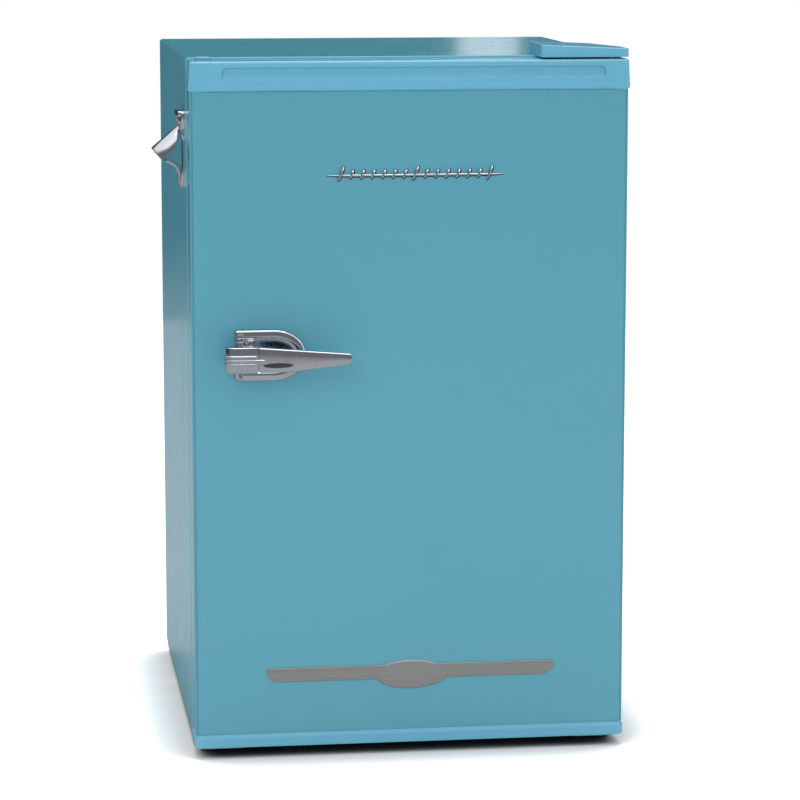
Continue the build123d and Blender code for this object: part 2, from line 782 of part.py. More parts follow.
def make_chiller_tray():
    """Shallow tray under the freezer box for chilled food and drips, on its own rails."""
    gap = fit_gap + 0.5
    body = tray(cavity_left + gap, cavity_right - gap, freezer_front - 6, freezer_back + 10,
                tray_ledge_z, tray_ledge_z + tray_height, 2.0, 10)
    lip = soft_block(mid_x - 60, mid_x + 60, freezer_front - 14, freezer_front - 5,
                     tray_ledge_z + tray_height - 4, tray_ledge_z + tray_height, 3)
    return body + lip


thermostat_left = freezer_right + 14
thermostat_right = cavity_right - 6
thermostat_front = freezer_front - 6
thermostat_bottom = freezer_top - 72
dial_x = (thermostat_left + thermostat_right) / 2
dial_z = (freezer_top + thermostat_bottom) / 2 - 4
dial_r = 22.0
dial_depth = 14.0


def make_thermostat_housing():
    """White housing beside the freezer box that holds the thermostat and its dial."""
    body = soft_block(thermostat_left, thermostat_right, thermostat_front, thermostat_front + 90,
                      thermostat_bottom, cavity_ceiling, 7, Axis.Y)
    face = body.faces().sort_by(Axis.Y)[0].edges()
    body = fillet(face, 3.0)
    ring_r = dial_r + 4.5
    for i in range(7):
        a = radians(210 - 40 * i)
        x = dial_x + ring_r * cos(a)
        z = dial_z + ring_r * sin(a)
        body += rod_y(x, thermostat_front - 0.6, thermostat_front + 2, z, 1.1)
    return body - rod_y(dial_x, thermostat_front - 1, thermostat_front + 12, dial_z, 4.0 + pin_clearance)


def make_thermostat_dial():
    """Fluted dial with a pointer rib, on a short shaft."""
    y1 = thermostat_front - rest_gap
    dial = rod_y(dial_x, y1 - dial_depth, y1, dial_z, dial_r)
    dial = fillet(dial.edges().group_by(Axis.Y)[0], 2.0)
    for i in range(20):
        a = radians(18 * i)
        dial -= rod_y(dial_x + dial_r * cos(a), y1 - dial_depth - 1, y1 - 4, dial_z + dial_r * sin(a), 1.7)
    pointer = soft_block(dial_x - 2.4, dial_x + 2.4, y1 - dial_depth - 3, y1 - dial_depth + 1,
                         dial_z - 4, dial_z + dial_r - 2, 1.5, Axis.Y)
    return dial + pointer + rod_y(dial_x, y1 - 1, thermostat_front + 10, dial_z, 4.0)


shelf_front = cabinet_front + shelf_setback
shelf_back = cavity_back - 14
trim_height = 15.0


def shelf_pieces(z):
    """Glass plate of a shelf, and its front and rear trims, resting on the rails at z."""
    x0, x1 = cavity_left + fit_gap, cavity_right - fit_gap
    glass = block(x0 + 1, x1 - 1, shelf_front + 4, shelf_back - 4, z + 2, z + 2 + shelf_glass)
    trims = []
    for y0, y1 in ((shelf_front, shelf_front + 16), (shelf_back - 16, shelf_back)):
        trim = soft_block(x0, x1, y0, y1, z, z + trim_height - 7, 2.0, Axis.X)
        trims.append(trim - glass)
    lip = soft_block(x0, x1, shelf_back - 4, shelf_back, z, z + trim_height + 8, 1.5, Axis.X)
    trims[1] = trims[1] + (lip - glass)
    return glass, Compound(children=trims)


def make_crisper_cover():
    """Glass plate over the drawer and the step, with a rounded front edge."""
    x0, x1 = cavity_left + fit_gap, cavity_right - fit_gap
    glass = block(x0, x1, shelf_front - 14, cavity_back - 14, crisper_cover_z, crisper_cover_z + shelf_glass)
    edge = glass.edges().filter_by(Axis.X).group_by(Axis.Y)[0]
    return fillet(edge, shelf_glass * 0.45)


def make_crisper_drawer():
    """Clear drawer between the liner's step and the door, with a rolled grip along its front."""
    x0, x1 = cavity_left + 4, cavity_right - 4
    y0, y1 = shelf_front - 8, step_front - 4
    z0, z1 = cavity_floor + 0.2, crisper_cover_z - 22
    body = tray(x0, x1, y0, y1, z0, z1, 2.4, 12, 8)
    grip = soft_block(x0 + 40, x1 - 40, y0 - 9, y0 + 1, z1 - 12, z1, 3.5, Axis.X)
    return body + grip


# ---------------------------------------------------------------- sizes of the handle
handle_z = 465.0
handle_start = 35.0  # left end of the grip from the door's left side
grip_length = 141.0
nose_length = 36.0
grip_height = 29.0
tip_height = 12.6
tip_drop = 9.0  # of the blade's top edge, from the nose to the tip
knee_length = 79.0  # where the blade's lower edge turns upwards, from the nose's end
base_start = 48.0
base_length = 80.0
base_height = 58.0
base_thickness = 8.0
nose_depth = 19.0
blade_depth = 11.0
grip_front = door_front - handle_projection + 2.0  # behind the bands, which stand furthest forward
nose_r = 12.0
rib_pitch = 4.4
rib_height = 2.0
rib_proud = 2.0
handle_screw_x = left + base_start + 13.0
handle_screw_offsets = (-15.0, 15.0)


# ---------------------------------------------------------------- door
skin_z0 = door_bottom + bottom_cap_height
skin_z1 = door_top - top_cap_height
crown_width = 26.0
crown_drop = 1.3


def skin_outline(inset):
    """Plan of the door's skin: flat front that falls away to the stepped long edges, open behind."""
    x0, x1 = left + inset, right - inset
    step_x0, step_x1 = left + rebate_width + inset, right - rebate_width - inset
    y0 = door_front + inset
    y_step = door_front + crown_drop + rebate_depth + inset
    y1 = door_back
    r = max(0.4, 1.6 - inset)
    front = Line((step_x0 + crown_width, y0), (step_x1 - crown_width, y0))
    falls = []
    for tip, start in ((step_x1, step_x1 - crown_width), (step_x0, step_x0 + crown_width)):
        middle = ((tip + start) / 2, y0 + crown_drop / 4)
        falls.append(ThreePointArc((start, y0), middle, (tip, y0 + crown_drop)))
    edges = [front, *falls]
    for tip, side in ((step_x1, x1), (step_x0, x0)):
        out = 1 if side > tip else -1
        edges.append(Line((tip, y0 + crown_drop), (tip, y_step)))
        edges.append(Line((tip, y_step), (side - out * r, y_step)))
        edges.append(CenterArc((side - out * r, y_step + r), r, -90, out * 90))
        edges.append(Line((side, y_step + r), (side, y1)))
    edges.append(Line((x0, y1), (x1, y1)))
    return make_face(Wire.combine(edges)[0])


def make_door_skin():
    """Painted steel skin: the front and both sides, turned in at the back."""
    outside = extrude(Plane.XY.offset(skin_z0) * skin_outline(0), skin_z1 - skin_z0)
    inside = extrude(Plane.XY.offset(skin_z0 - 1) * skin_outline(door_sheet), skin_z1 - skin_z0 + 2)
    inside -= block(left, left + 12, door_back - door_sheet, door_back + 1, skin_z0 - 2, skin_z1 + 2)
    inside -= block(right - 12, right, door_back - door_sheet, door_back + 1, skin_z0 - 2, skin_z1 + 2)
    skin = outside - inside
    for dz in handle_screw_offsets:
        skin -= rod_y(handle_screw_x, door_front - 1, door_front + 5, handle_z + dz, screw_r + screw_play)
    return skin


cap_proud = 2.4  # the top cap stands in front of the skin by this much
foot_proud = 2.8  # and the bottom cap by this much
cap_flare = 1.4
cap_wall = 4.0
hinge_boss_r = 10.0
bush_wall = 2.0
grip_left = 36.0  # recess in the top cap, from the door's left and right sides
grip_right = 27.0


def make_door_top_cap():
    """Moulded top of the door, wider at its lower edge, with a long hollow along its front."""
    z0, z1 = skin_z1, door_top
    front = door_front - cap_proud
    outline = Plane.XZ.offset(-front) * make_face(
        Polyline((left - cap_flare, z0), (right + cap_flare, z0), (right - 0.6, z1), (left + 0.6, z1),
                 close=True)
    )
    cap = extrude(outline, -(door_back - front))
    cap = fillet(cap.edges().filter_by(Axis.Y).group_by(Axis.Z)[-1], 2.0)
    top_front = cap.edges().filter_by(Axis.X).group_by(Axis.Z)[-1].sort_by(Axis.Y)[0]
    cap = fillet(top_front, 4.0)
    hollow = soft_block(left + grip_left, right - grip_right, front - 30, front + 2.6,
                        z0 + 9.5, z1 - 7, 6, Axis.Y)
    scoop = Pos(mid_x, front - 36.5, z0 + 9.5 + 17) * Rot(0, 90, 0) * Cylinder(39.0, cabinet_width)
    cap -= hollow & scoop
    low_edges = cap.faces().sort_by(Axis.Z)[0].edges()
    cap = chamfer([low_edges.sort_by(Axis.Y)[0]], 3.4, 2.2)
    cap -= top_cap_space()
    return cap + hinge_bosses(z0, z1 - 1) - hinge_bores(z0, z1)


def top_cap_space():
    """Space inside the top cap, open downwards."""
    return block(left + 5, right - 5, door_front + 6, door_back - 3, skin_z1 - 1, door_top - cap_wall)


def bottom_cap_space():
    """Space inside the bottom cap, open upwards."""
    return block(left + 12, right - 12, door_front + 8, door_back - 3, door_bottom + 3, skin_z0 + 1)


def hinge_bosses(z0, z1):
    """Round bosses inside a cap around both hinge places."""
    posts = [post(x, hinge_y, z0, z1, hinge_boss_r) for x in (hinge_x, left + hinge_inset)]
    return Compound(children=posts)


def hinge_bores(z0, z1):
    """Bores for the bushes or plugs through a cap, on both sides of the door."""
    bores = [post(x, hinge_y, z0 - 1, z1 + 1, hinge_pin_r + bush_wall) for x in (hinge_x, left + hinge_inset)]
    return Compound(children=bores)


def make_door_bottom_cap():
    """Moulded foot of the door, swelling forward, with rounded front corners."""
    z0, z1 = door_bottom, skin_z0
    front = door_front - foot_proud
    cap = block(left - 1.0, right + 1.0, front, door_back, z0, z1)
    cap = fillet(cap.edges().filter_by(Axis.Z).group_by(Axis.Y)[0], 9.0)
    rim = cap.faces().sort_by(Axis.Z)[-1].edges().sort_by(Axis.Y)[:-1]
    cap = chamfer(rim, 2.2, 4.0, reference=cap.faces().sort_by(Axis.Z)[-1])
    sole = cap.faces().sort_by(Axis.Z)[0].edges().sort_by(Axis.Y)[:-1]
    cap = fillet(sole, 1.2)
    cap -= bottom_cap_space()
    return cap + hinge_bosses(z0 + 1, z1) - hinge_bores(z0, z1)


def make_hinge_bushings():
    """Nylon bushes in the caps, which turn on the hinge pins."""
    bushes = []
    for z0, z1 in ((door_bottom, skin_z0), (skin_z1, door_top)):
        bush = post(hinge_x, hinge_y, z0, z1, hinge_pin_r + bush_wall)
        bushes.append(bush - post(hinge_x, hinge_y, z0 - 1, z1 + 1, hinge_pin_r + pin_clearance))
    return Compound(children=bushes)


def make_hinge_hole_plugs():
    """Plugs in the unused hinge holes at the door's left side, the upper one with a raised oblong head."""
    x = left + hinge_inset
    upper = post(x, hinge_y, skin_z1 + 14, door_top, hinge_pin_r + bush_wall)
    head = soft_block(x - 10, x + 8, hinge_y - 8, hinge_y + 8, door_top, door_top + 4.5, 6.5)
    head = fillet(head.faces().sort_by(Axis.Z)[-1].edges(), 2.0)
    lower = post(x, hinge_y, door_bottom, door_bottom + 9, hinge_pin_r + bush_wall)
    return Compound(children=[upper + head, lower])


dyke_left = cavity_left + dyke_inset
dyke_right = cavity_right - dyke_inset
dyke_floor = cavity_floor + dyke_inset
dyke_ceiling = cavity_ceiling - dyke_inset
dyke_top_y = cabinet_front + dyke_depth


def raised_panel(x0, x1, z0, z1, y0, y1, corner, taper):
    """Rounded rectangle at y0 that narrows towards y1."""
    middle = Pos((x0 + x1) / 2, (z0 + z1) / 2)
    base = Plane.XZ.offset(-y0) * middle * RectangleRounded(x1 - x0, z1 - z0, corner)
    return extrude(base, -(y1 - y0), taper=taper)


def dyke_solid(inset):
    """Outer form of the raised ring on the door's inner face, inset by the liner's wall."""
    return raised_panel(dyke_left + inset, dyke_right - inset, dyke_floor + inset, dyke_ceiling - inset,
                        door_back - 0.5, dyke_top_y - inset, 16 - inset, 5)


def dyke_hollow(grow):
    """The recess inside that ring, grown by the liner's wall."""
    w = dyke_width - grow
    return raised_panel(dyke_left + w, dyke_right - w, dyke_floor + w, dyke_ceiling - w,
                        dyke_top_y + 2, door_back + 2 - grow, 10 + grow, 5)


boss_height = 10.0
boss_reach = rack_side_gap + 6.0
boss_levels = {"upper_bin": 545.0, "can_rack": 330.0, "bottle_rack": 118.0}


def make_door_liner():
    """White inner face of the door: a flat rim, the raised ring and the rests for the racks."""
    rim = block(left + 1.5, right - 1.5, door_back, door_back + liner_wall, door_bottom + 2, door_top - 2)
    liner = rim + dyke_solid(0) - dyke_solid(liner_wall)
    liner -= block(left, right, door_back - 5, door_back, 0, cabinet_top)
    wall = dyke_hollow(liner_wall) & block(left, right, door_back, dyke_top_y, 0, cabinet_top)
    liner = liner + wall - dyke_hollow(0)
    for z in boss_levels.values():
        for x, inward in ((dyke_left + dyke_width, 1), (dyke_right - dyke_width, -1)):
            x0, x1 = sorted((x - inward * 4.0, x + inward * boss_reach))
            rest = block(x0, x1, door_back + 4, dyke_top_y - 6, z - boss_height, z)
            liner += rest & dyke_hollow(liner_wall / 2)
    return liner


def make_door_foam(skin, top_cap, bottom_cap, liner, screws):
    """Insulation that fills the door between its skin, its caps and its liner."""
    foam = extrude(Plane.XY.offset(skin_z0) * skin_outline(door_sheet), skin_z1 - skin_z0)
    foam -= block(left, left + 12, door_back - door_sheet, door_back + 1, skin_z0 - 2, skin_z1 + 2)
    foam -= block(right - 12, right, door_back - door_sheet, door_back + 1, skin_z0 - 2, skin_z1 + 2)
    foam += top_cap_space() & block(left, right, door_front, door_back, skin_z1 - 1, door_top)
    foam += bottom_cap_space() & block(left, right, door_front, door_back, door_bottom, skin_z0 + 1)
    swell = dyke_solid(liner_wall) - dyke_hollow(liner_wall)
    swell &= block(left, right, door_back - 0.2, dyke_top_y, skin_z0, skin_z1)
    foam = foam + swell - skin - top_cap - bottom_cap - liner - screws
    return foam - hinge_bores(door_bottom, skin_z0 - 1) - hinge_bores(skin_z1 + 1, door_top)


gasket_inset = hinge_inset + 1.0
gasket_width = 14.0


def frame_ring(inset, width, y0, y1):
    """Rectangular ring round the door's inner face."""
    x0, x1 = left + inset, right - inset
    z0, z1 = door_bottom + inset, door_top - inset
    outside = soft_block(x0, x1, y0, y1, z0, z1, 6, Axis.Y)
    return outside - block(x0 + width, x1 - width, y0 - 1, y1 + 1, z0 + width, z1 - width)


def make_door_gasket():
    """Magnetic gasket: a foot on the liner, a narrow bellows and the magnet strip that meets the flange."""
    y0 = door_back + liner_wall
    y1 = cabinet_front - 0.4
    span = y1 - y0
    foot = frame_ring(gasket_inset, gasket_width, y0, y0 + 0.3 * span)
    bellows = frame_ring(gasket_inset + 3, gasket_width - 6, y0 + 0.3 * span, y0 + 0.6 * span)
    magnet = frame_ring(gasket_inset + 1, gasket_width - 2, y0 + 0.6 * span, y1)
    return foot + bellows + magnet


rack_left = dyke_left + dyke_width + rack_side_gap
rack_right = dyke_right - dyke_width - rack_side_gap
rack_back_y = door_back + 5.0


def door_rack(z, reach, height, front_height):
    """Rack on the door: a tray that rests on two rests, with a lower wall towards the food."""
    y0, y1 = rack_back_y, cabinet_front + reach
    rack = tray(rack_left, rack_right, y0, y1, z, z + height, bin_wall, 8)
    rack -= block(rack_left - 1, rack_right + 1, y1 - 0.45 * (y1 - y0), y1 + 1,
                  z + front_height, z + height + 1)
    return rack


def make_upper_door_bin():
    return door_rack(boss_levels["upper_bin"], 62.0, 55.0, 38.0)


def make_can_rack():
    """Rack for cans, with a divider and two finger openings in its front."""
    z = boss_levels["can_rack"]
    rack = door_rack(z, 80.0, 90.0, 60.0)
    rack += block(mid_x - 1, mid_x + 1, rack_back_y + 1, cabinet_front + 79.0, z + 1, z + 60)
    for x in (mid_x - 80, mid_x + 80):
        rack -= soft_block(x - 34, x + 34, cabinet_front + 60, cabinet_front + 90, z + 22, z + 44, 9, Axis.Y)
    return rack


def make_bottle_rack():
    """Deep rack for bottles, with a retaining bar above its front wall."""
    z = boss_levels["bottle_rack"]
    y1 = cabinet_front + 94.0
    rack = door_rack(z, 94.0, 110.0, 58.0)
    bar = block(rack_left, rack_right, y1 - 6, y1, z + 92, z + 104)
    bar = fillet(bar.edges().filter_by(Axis.X), 2.5)
    ends = [
        block(x, x + bin_wall, y1 - 60, y1 - 1, z + 92, z + 104)
        for x in (rack_left, rack_right - bin_wall)
    ]
    return rack + bar + ends[0] + ends[1]


# ---------------------------------------------------------------- handle and badges
def make_handle_base():
    """Chrome escutcheon: flat on the left, pointed on the right, with the pillar of the grip."""
    x0 = left + base_start
    x1 = x0 + base_length
    half = base_height / 2
    flat = 0.58 * base_length
    shoulder = x0 + 0.87 * base_length
    outline = make_face(
        Wire.combine(
            [
                Line((x0, -half), (x0, half)),
                Line((x0, half), (x0 + flat, half)),
                ThreePointArc((x0 + flat, half), (shoulder, half * 0.64), (x1, 0)),
                ThreePointArc((x1, 0), (shoulder, -half * 0.64), (x0 + flat, -half)),
                Line((x0 + flat, -half), (x0, -half)),
            ]
        )[0]
    )
    plate = extrude(Plane.XZ.offset(-door_front) * Pos(0, handle_z) * outline, base_thickness)
    plate = fillet(plate.edges().filter_by(Axis.Y), 3.0)
    plate = fillet(plate.faces().sort_by(Axis.Y)[0].edges(), 2.4)
    dish = Pos(x0 + 0.62 * base_length, door_front - base_thickness - 17, handle_z) * Sphere(24)
    plate -= dish
    pillar = post(x0 + 13, door_front - 17, handle_z - 20, handle_z + 20, 9.5)
    pillar += block(x0 + 5, x0 + 21, door_front - 17, door_front - 1, handle_z - 20, handle_z + 20)
    pillar = fillet(pillar.edges().group_by(Axis.Z)[-1], 1.5)
    return plate + pillar - rod_y(x0 + 13, door_front - 60, door_front - 22.5, handle_z, 30)


def grip_profile():
    """Front view of the grip: a straight nose, then a blade whose top slopes down to a blunt tip."""
    x0 = left + handle_start
    x1 = x0 + nose_length
    x2 = x0 + grip_length
    a = grip_height / 2
    tip = tip_height
    return make_face(
        Polyline((x0, -a), (x0 + knee_length, -a), (x2, a - tip_drop - tip), (x2, a - tip_drop), (x1, a),
                 (x0, a), close=True)
    )


def make_handle_grip():
    """Chrome grip: a deep rounded nose on the pillar and a slim blade that stands clear of the door."""
    x0 = left + handle_start
    front = grip_front
    y_nose = front + nose_depth + 5
    y_blade = front + blade_depth
    grip = extrude(Plane.XZ.offset(-front) * Pos(0, handle_z) * grip_profile(), -(y_nose - front))
    plan = make_face(
        Wire.combine(
            [
                CenterArc((x0 + nose_r, front + nose_r), nose_r, 180, 90),
                Line((x0 + nose_r, front), (x0 + nose_length, front)),
                Line((x0 + nose_length, front), (x0 + grip_length, front + 3.5)),
                Line((x0 + grip_length, front + 3.5), (x0 + grip_length, y_blade)),
                Line((x0 + grip_length, y_blade), (x0 + nose_length + 14, y_blade)),
                ThreePointArc((x0 + nose_length + 14, y_blade), (x0 + nose_length + 4, y_blade + 4),
                              (x0 + nose_length, y_nose)),
                Line((x0 + nose_length, y_nose), (x0 + 8, y_nose)),
                Line((x0 + 8, y_nose), (x0, front + nose_r + 6)),
                Line((x0, front + nose_r + 6), (x0, front + nose_r)),
            ]
        )[0]
    )
    grip &= extrude(Plane.XY.offset(handle_z - 40) * plan, 80)
    return grip


def make_handle_ribs():
    """Three raised chrome bands round the nose, the middle one longer."""
    x0 = left + handle_start
    bend_x, bend_y = x0 + nose_r, grip_front + nose_r
    bands = []
    for i, reach in ((-1, 22.0), (0, 31.0), (1, 22.0)):
        end = bend_x + reach
        outer_r = nose_r + rib_proud
        outline = [
            CenterArc((bend_x, bend_y), outer_r, 180, 90),
            Line((bend_x, bend_y - outer_r), (end, bend_y - outer_r)),
            Line((end, bend_y - outer_r), (end, bend_y - nose_r)),
            Line((end, bend_y - nose_r), (bend_x, bend_y - nose_r)),
            CenterArc((bend_x, bend_y), nose_r, 270, -90),
            Line((bend_x - nose_r, bend_y), (bend_x - nose_r, bend_y + 5)),
            Line((bend_x - nose_r, bend_y + 5), (bend_x - outer_r, bend_y + 5)),
            Line((bend_x - outer_r, bend_y + 5), (bend_x - outer_r, bend_y)),
        ]
        z = handle_z + i * rib_pitch
        band = extrude(Plane.XY.offset(z - rib_height / 2) * make_face(Wire.combine(outline)[0]), rib_height)
        bands.append(band)
    return Compound(children=bands)


def make_handle_medallion():
    """Plain dark oval let into the lower half of the blade."""
    x = left + handle_start + 58
    oval = Plane.XZ.offset(-(grip_front + 1.2)) * Pos(x, handle_z - 6.0) * Ellipse(17, 2.9)
    return extrude(oval, 1.4)


def make_handle_screws():
    """Two screws that hold the handle from inside the door's skin."""
    screws = [
        screw(handle_screw_x, door_front + door_sheet, handle_z + dz, (0, 1, 0), shank=door_sheet + 9)
        for dz in handle_screw_offsets
    ]
    return Compound(children=screws)


ornament_length = 204.0
ornament_mid = mid_x + 5.0
ornament_z = 664.0
ornament_drops = 15


def make_script_ornament():
    """Chrome speed-line ornament: a bar pointed at both ends with a row of leaning drops across it."""
    half = ornament_length / 2
    bar = make_face(
        Polyline((-half, 0), (-half + 14, -1.4), (half - 14, -1.4), (half, 0), (half - 14, 1.4), (-half + 14, 1.4),
                 close=True)
    )
    front = Plane.XZ.offset(-door_front) * Pos(ornament_mid, ornament_z)
    pieces = extrude(front * bar, 2.6)
    pitch = (ornament_length - 36) / (ornament_drops - 1)
    for i in range(ornament_drops):
        height = 17.0 if i % 7 == 0 else 11.0
        place = Pos(-half + 18 + i * pitch, height * 0.12)
        drop = place * Rot(0, 0, -26) * SlotOverall(height, 3.2, rotation=90)
        pieces += extrude(front * drop, 3.4)
    return pieces


badge_span = 331.0
badge_mid = mid_x
badge_z = 96.0
wing_height = 16.5


def make_wing_badge():
    """Satin metal badge low on the door: two straight wings and a blank oval between them."""
    half = badge_span / 2
    h = wing_height / 2
    wing = Polyline((-half, h), (half, h), (half, 0), (half - 10, -h), (-half + 10, -h), (-half, 0),
                    close=True)
    plate = make_face(wing)
    plate = fillet(plate.vertices().group_by(Axis.Y)[0], 6.0)
    oval = Pos(0, -3.5) * Ellipse(42, 16.5)
    face = Plane.XZ.offset(-door_front) * Pos(badge_mid, badge_z) * (plate + oval)
    return extrude(face, 2.0)


# ---------------------------------------------------------------- bottle opener on the left side
opener_y = cabinet_front + 52.0
opener_top = 733.0
opener_bottom = 645.0
opener_plate = 4.5
hood_r = 19.0
hood_wall = 3.4
hood_tilt = 40.0  # below level, outwards
hood_length = opener_projection / cos(radians(hood_tilt))
hood_root = opener_top - 12.0  # height at which the hood's ridge leaves the plate
neck_width = 18.0
neck_length = 9.0
lip_root = opener_bottom + 14.0
lip_reach = 21.0
opener_roll = 8.0  # thickness of the bar along the plate's top
opener_screw_places = [(-17.0, opener_top - 15.0), (17.0, opener_top - 15.0), (0.0, opener_bottom + 7.0)]


def opener_outline():
    """Outline of the opener's plate, a wide tab with a narrow tail under it, in the YZ plane."""
    top, low = opener_top, opener_bottom
    return make_face(
        Polyline(
            (-27, top), (27, top), (27, top - 18), (11, top - 34), (11, low + 20), (9, low), (-9, low),
            (-11, low + 20), (-11, top - 34), (-27, top - 18), close=True,
        )
    )


def make_bottle_opener():
    """Cast chrome opener: a screwed plate with a bar along its top, a hood that leans outwards and a lip."""
    base = Plane(origin=(left, opener_y, 0), x_dir=(0, -1, 0), z_dir=(-1, 0, 0))
    plate = extrude(base * opener_outline(), opener_plate)
    plate = fillet(plate.edges().filter_by(Axis.X), 5.0)
    plate = fillet(plate.faces().sort_by(Axis.X)[0].edges(), 1.6)
    roll = soft_block(left - opener_roll, left + 4, opener_y - 25, opener_y + 25,
                      opener_top - 7, opener_top, 1.6, Axis.Y)
    ring = Circle(hood_r) - Circle(hood_r - hood_wall)
    ring &= Pos(0, hood_r / 2) * Rectangle(2 * hood_r, hood_r)
    lean = radians(hood_tilt)
    start = Vector(left, opener_y, hood_root) + Vector(sin(lean), 0, -cos(lean)) * hood_r
    mouth = Plane(origin=start, x_dir=Vector(0, -1, 0), z_dir=Vector(-cos(lean), 0, -sin(lean)))
    hood = extrude(mouth * ring, hood_length)
    throat = block(left - neck_length, left + 60, opener_y - 50, opener_y + 50,
                   opener_bottom, opener_top + 40)
    neck = block(left - neck_length, left, opener_y - neck_width / 2, opener_y + neck_width / 2,
                 opener_bottom, opener_top)
    hood -= throat - neck
    path = Spline(
        (left - 2, opener_y, lip_root),
        (left - 7, opener_y, lip_root + 10),
        (left - lip_reach, opener_y, lip_root + 18),
        tangents=[(-0.2, 0, 1), (-1, 0, 0.4)],
    )
    profile = Plane(origin=path @ 0, x_dir=(0, 1, 0), z_dir=path % 0)
    lip = sweep(profile * RectangleRounded(15, 4.4, 1.8), path=path)
    opener = plate + roll + hood + lip
    opener -= block(left, left + 60, opener_y - 60, opener_y + 60, opener_bottom - 20, opener_top + 40)
    for dy, z in opener_screw_places:
        opener -= rod_x(left - 12, left + 1, opener_y + dy, z, screw_r + screw_play)
    return opener


def make_opener_screws():
    """Three screws that hold the opener to the cabinet's side."""
    x = left - opener_plate
    return Compound(
        children=[
            screw(x, opener_y + dy, z, (-1, 0, 0), head_r=4.0, shank=opener_plate - 0.2)
            for dy, z in opener_screw_places
        ]
    )


# ---------------------------------------------------------------- all nodes
def make_nodes():
    liner = make_inner_liner()
    pan = make_base_pan()
    back = make_back_panel()
    recess = make_recess_panel()
    skin = make_door_skin()
    top_cap = make_door_top_cap()
    bottom_cap = make_door_bottom_cap()
    door_liner = make_door_liner()
    upper_glass, upper_trim = shelf_pieces(upper_shelf_z)
    lower_glass, lower_trim = shelf_pieces(lower_shelf_z)
    compressor = make_compressor()
    drier = make_filter_drier()
    coil = make_condenser_coil()
    medallion = make_handle_medallion()
    grip = make_handle_grip() - medallion
    handle_screws = make_handle_screws()
    return {
        "outer_shell": make_outer_shell(),
        "inner_liner": liner,
        "base_pan": pan,
        "back_panel": back,
        "recess_panel": recess,
        "cabinet_foam": make_cabinet_foam(liner, pan, back, recess),
        "compressor_plate": make_compressor_plate(),
        "cord_grommet": make_cord_grommet(),
        "compressor": compressor,
        "compressor_grommets": make_compressor_grommets(),
        "compressor_bolts": make_compressor_bolts(),
        "terminal_cover": make_terminal_cover(compressor),
        "filter_drier": drier,
        "refrigerant_pipes": make_refrigerant_pipes(compressor, drier, coil),
        "condenser_coil": coil,
        "condenser_wires": make_condenser_wires(),
        "condenser_brackets": make_condenser_brackets(),
        "drip_pan": make_drip_pan(),
        "drain_tube": make_drain_tube(),
        "left_levelling_foot": make_levelling_foot(front_feet["left_foot"]),
        "right_levelling_foot": make_levelling_foot(front_feet["right_foot"]),
        "left_foot_bracket": make_left_foot_bracket(),
        "lower_hinge": make_lower_hinge(),
        "upper_hinge": make_upper_hinge(),
        "hinge_cover": make_hinge_cover(),
        "hinge_screws": make_hinge_screws(),
        "rear_feet": make_rear_feet(),
        "evaporator_box": make_evaporator_box(),
        "freezer_frame": make_freezer_frame(),
        "freezer_flap": make_freezer_flap(),
        "ice_tray": make_ice_tray(),
        "chiller_tray": make_chiller_tray(),
        "thermostat_housing": make_thermostat_housing(),
        "thermostat_dial": make_thermostat_dial(),
        "upper_shelf_glass": upper_glass,
        "upper_shelf_trim": upper_trim,
        "lower_shelf_glass": lower_glass,
        "lower_shelf_trim": lower_trim,
        "crisper_cover": make_crisper_cover(),
        "crisper_drawer": make_crisper_drawer(),
        "door_skin": skin,
        "door_top_cap": top_cap,
        "door_bottom_cap": bottom_cap,
        "door_liner": door_liner,
        "door_foam": make_door_foam(skin, top_cap, bottom_cap, door_liner, handle_screws),
        "door_gasket": make_door_gasket(),
        "hinge_bushings": make_hinge_bushings(),
        "hinge_hole_plugs": make_hinge_hole_plugs(),
        "upper_door_bin": make_upper_door_bin(),
        "can_rack": make_can_rack(),
        "bottle_rack": make_bottle_rack(),
        "handle_base": make_handle_base() - grip - handle_screws,
        "handle_grip": grip,
        "handle_ribs": make_handle_ribs(),
        "handle_medallion": medallion,
        "handle_screws": handle_screws,
        "script_ornament": make_script_ornament(),
        "wing_badge": make_wing_badge(),
        "bottle_opener": make_bottle_opener(),
        "opener_screws": make_opener_screws(),
    }


os.makedirs("parts", exist_ok=True)
for node, shape in make_nodes().items():
    export_step(shape, f"parts/{node}.step")
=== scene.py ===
"""Looks of the compact refrigerator, built round its CAD frame. Everything is in metres, in that frame."""

import json
import math

import bmesh
import bpy
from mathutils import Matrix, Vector


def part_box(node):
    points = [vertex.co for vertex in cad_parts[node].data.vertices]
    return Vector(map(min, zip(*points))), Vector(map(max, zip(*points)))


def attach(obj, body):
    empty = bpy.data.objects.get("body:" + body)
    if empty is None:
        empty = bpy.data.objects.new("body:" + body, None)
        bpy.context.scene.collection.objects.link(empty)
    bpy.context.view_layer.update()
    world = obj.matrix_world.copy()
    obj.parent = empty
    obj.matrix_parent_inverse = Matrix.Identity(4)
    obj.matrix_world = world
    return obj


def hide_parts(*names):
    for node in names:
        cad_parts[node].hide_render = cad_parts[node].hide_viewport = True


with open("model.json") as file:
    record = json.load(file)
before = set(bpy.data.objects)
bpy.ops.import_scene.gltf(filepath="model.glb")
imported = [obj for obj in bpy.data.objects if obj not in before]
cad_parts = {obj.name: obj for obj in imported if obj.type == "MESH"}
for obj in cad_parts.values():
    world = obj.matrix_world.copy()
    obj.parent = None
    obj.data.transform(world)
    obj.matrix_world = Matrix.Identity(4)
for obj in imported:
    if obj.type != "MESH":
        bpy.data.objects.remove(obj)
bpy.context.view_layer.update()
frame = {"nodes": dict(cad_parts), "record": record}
NODES = frame["nodes"]
MM = 0.001


# ---------------------------------------------------------------- places read from the frame
skin_low, skin_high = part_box("door_skin")
left, right = skin_low.x, skin_high.x
mid_x = (left + right) / 2
door_front = skin_low.y
door_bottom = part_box("door_bottom_cap")[0].z


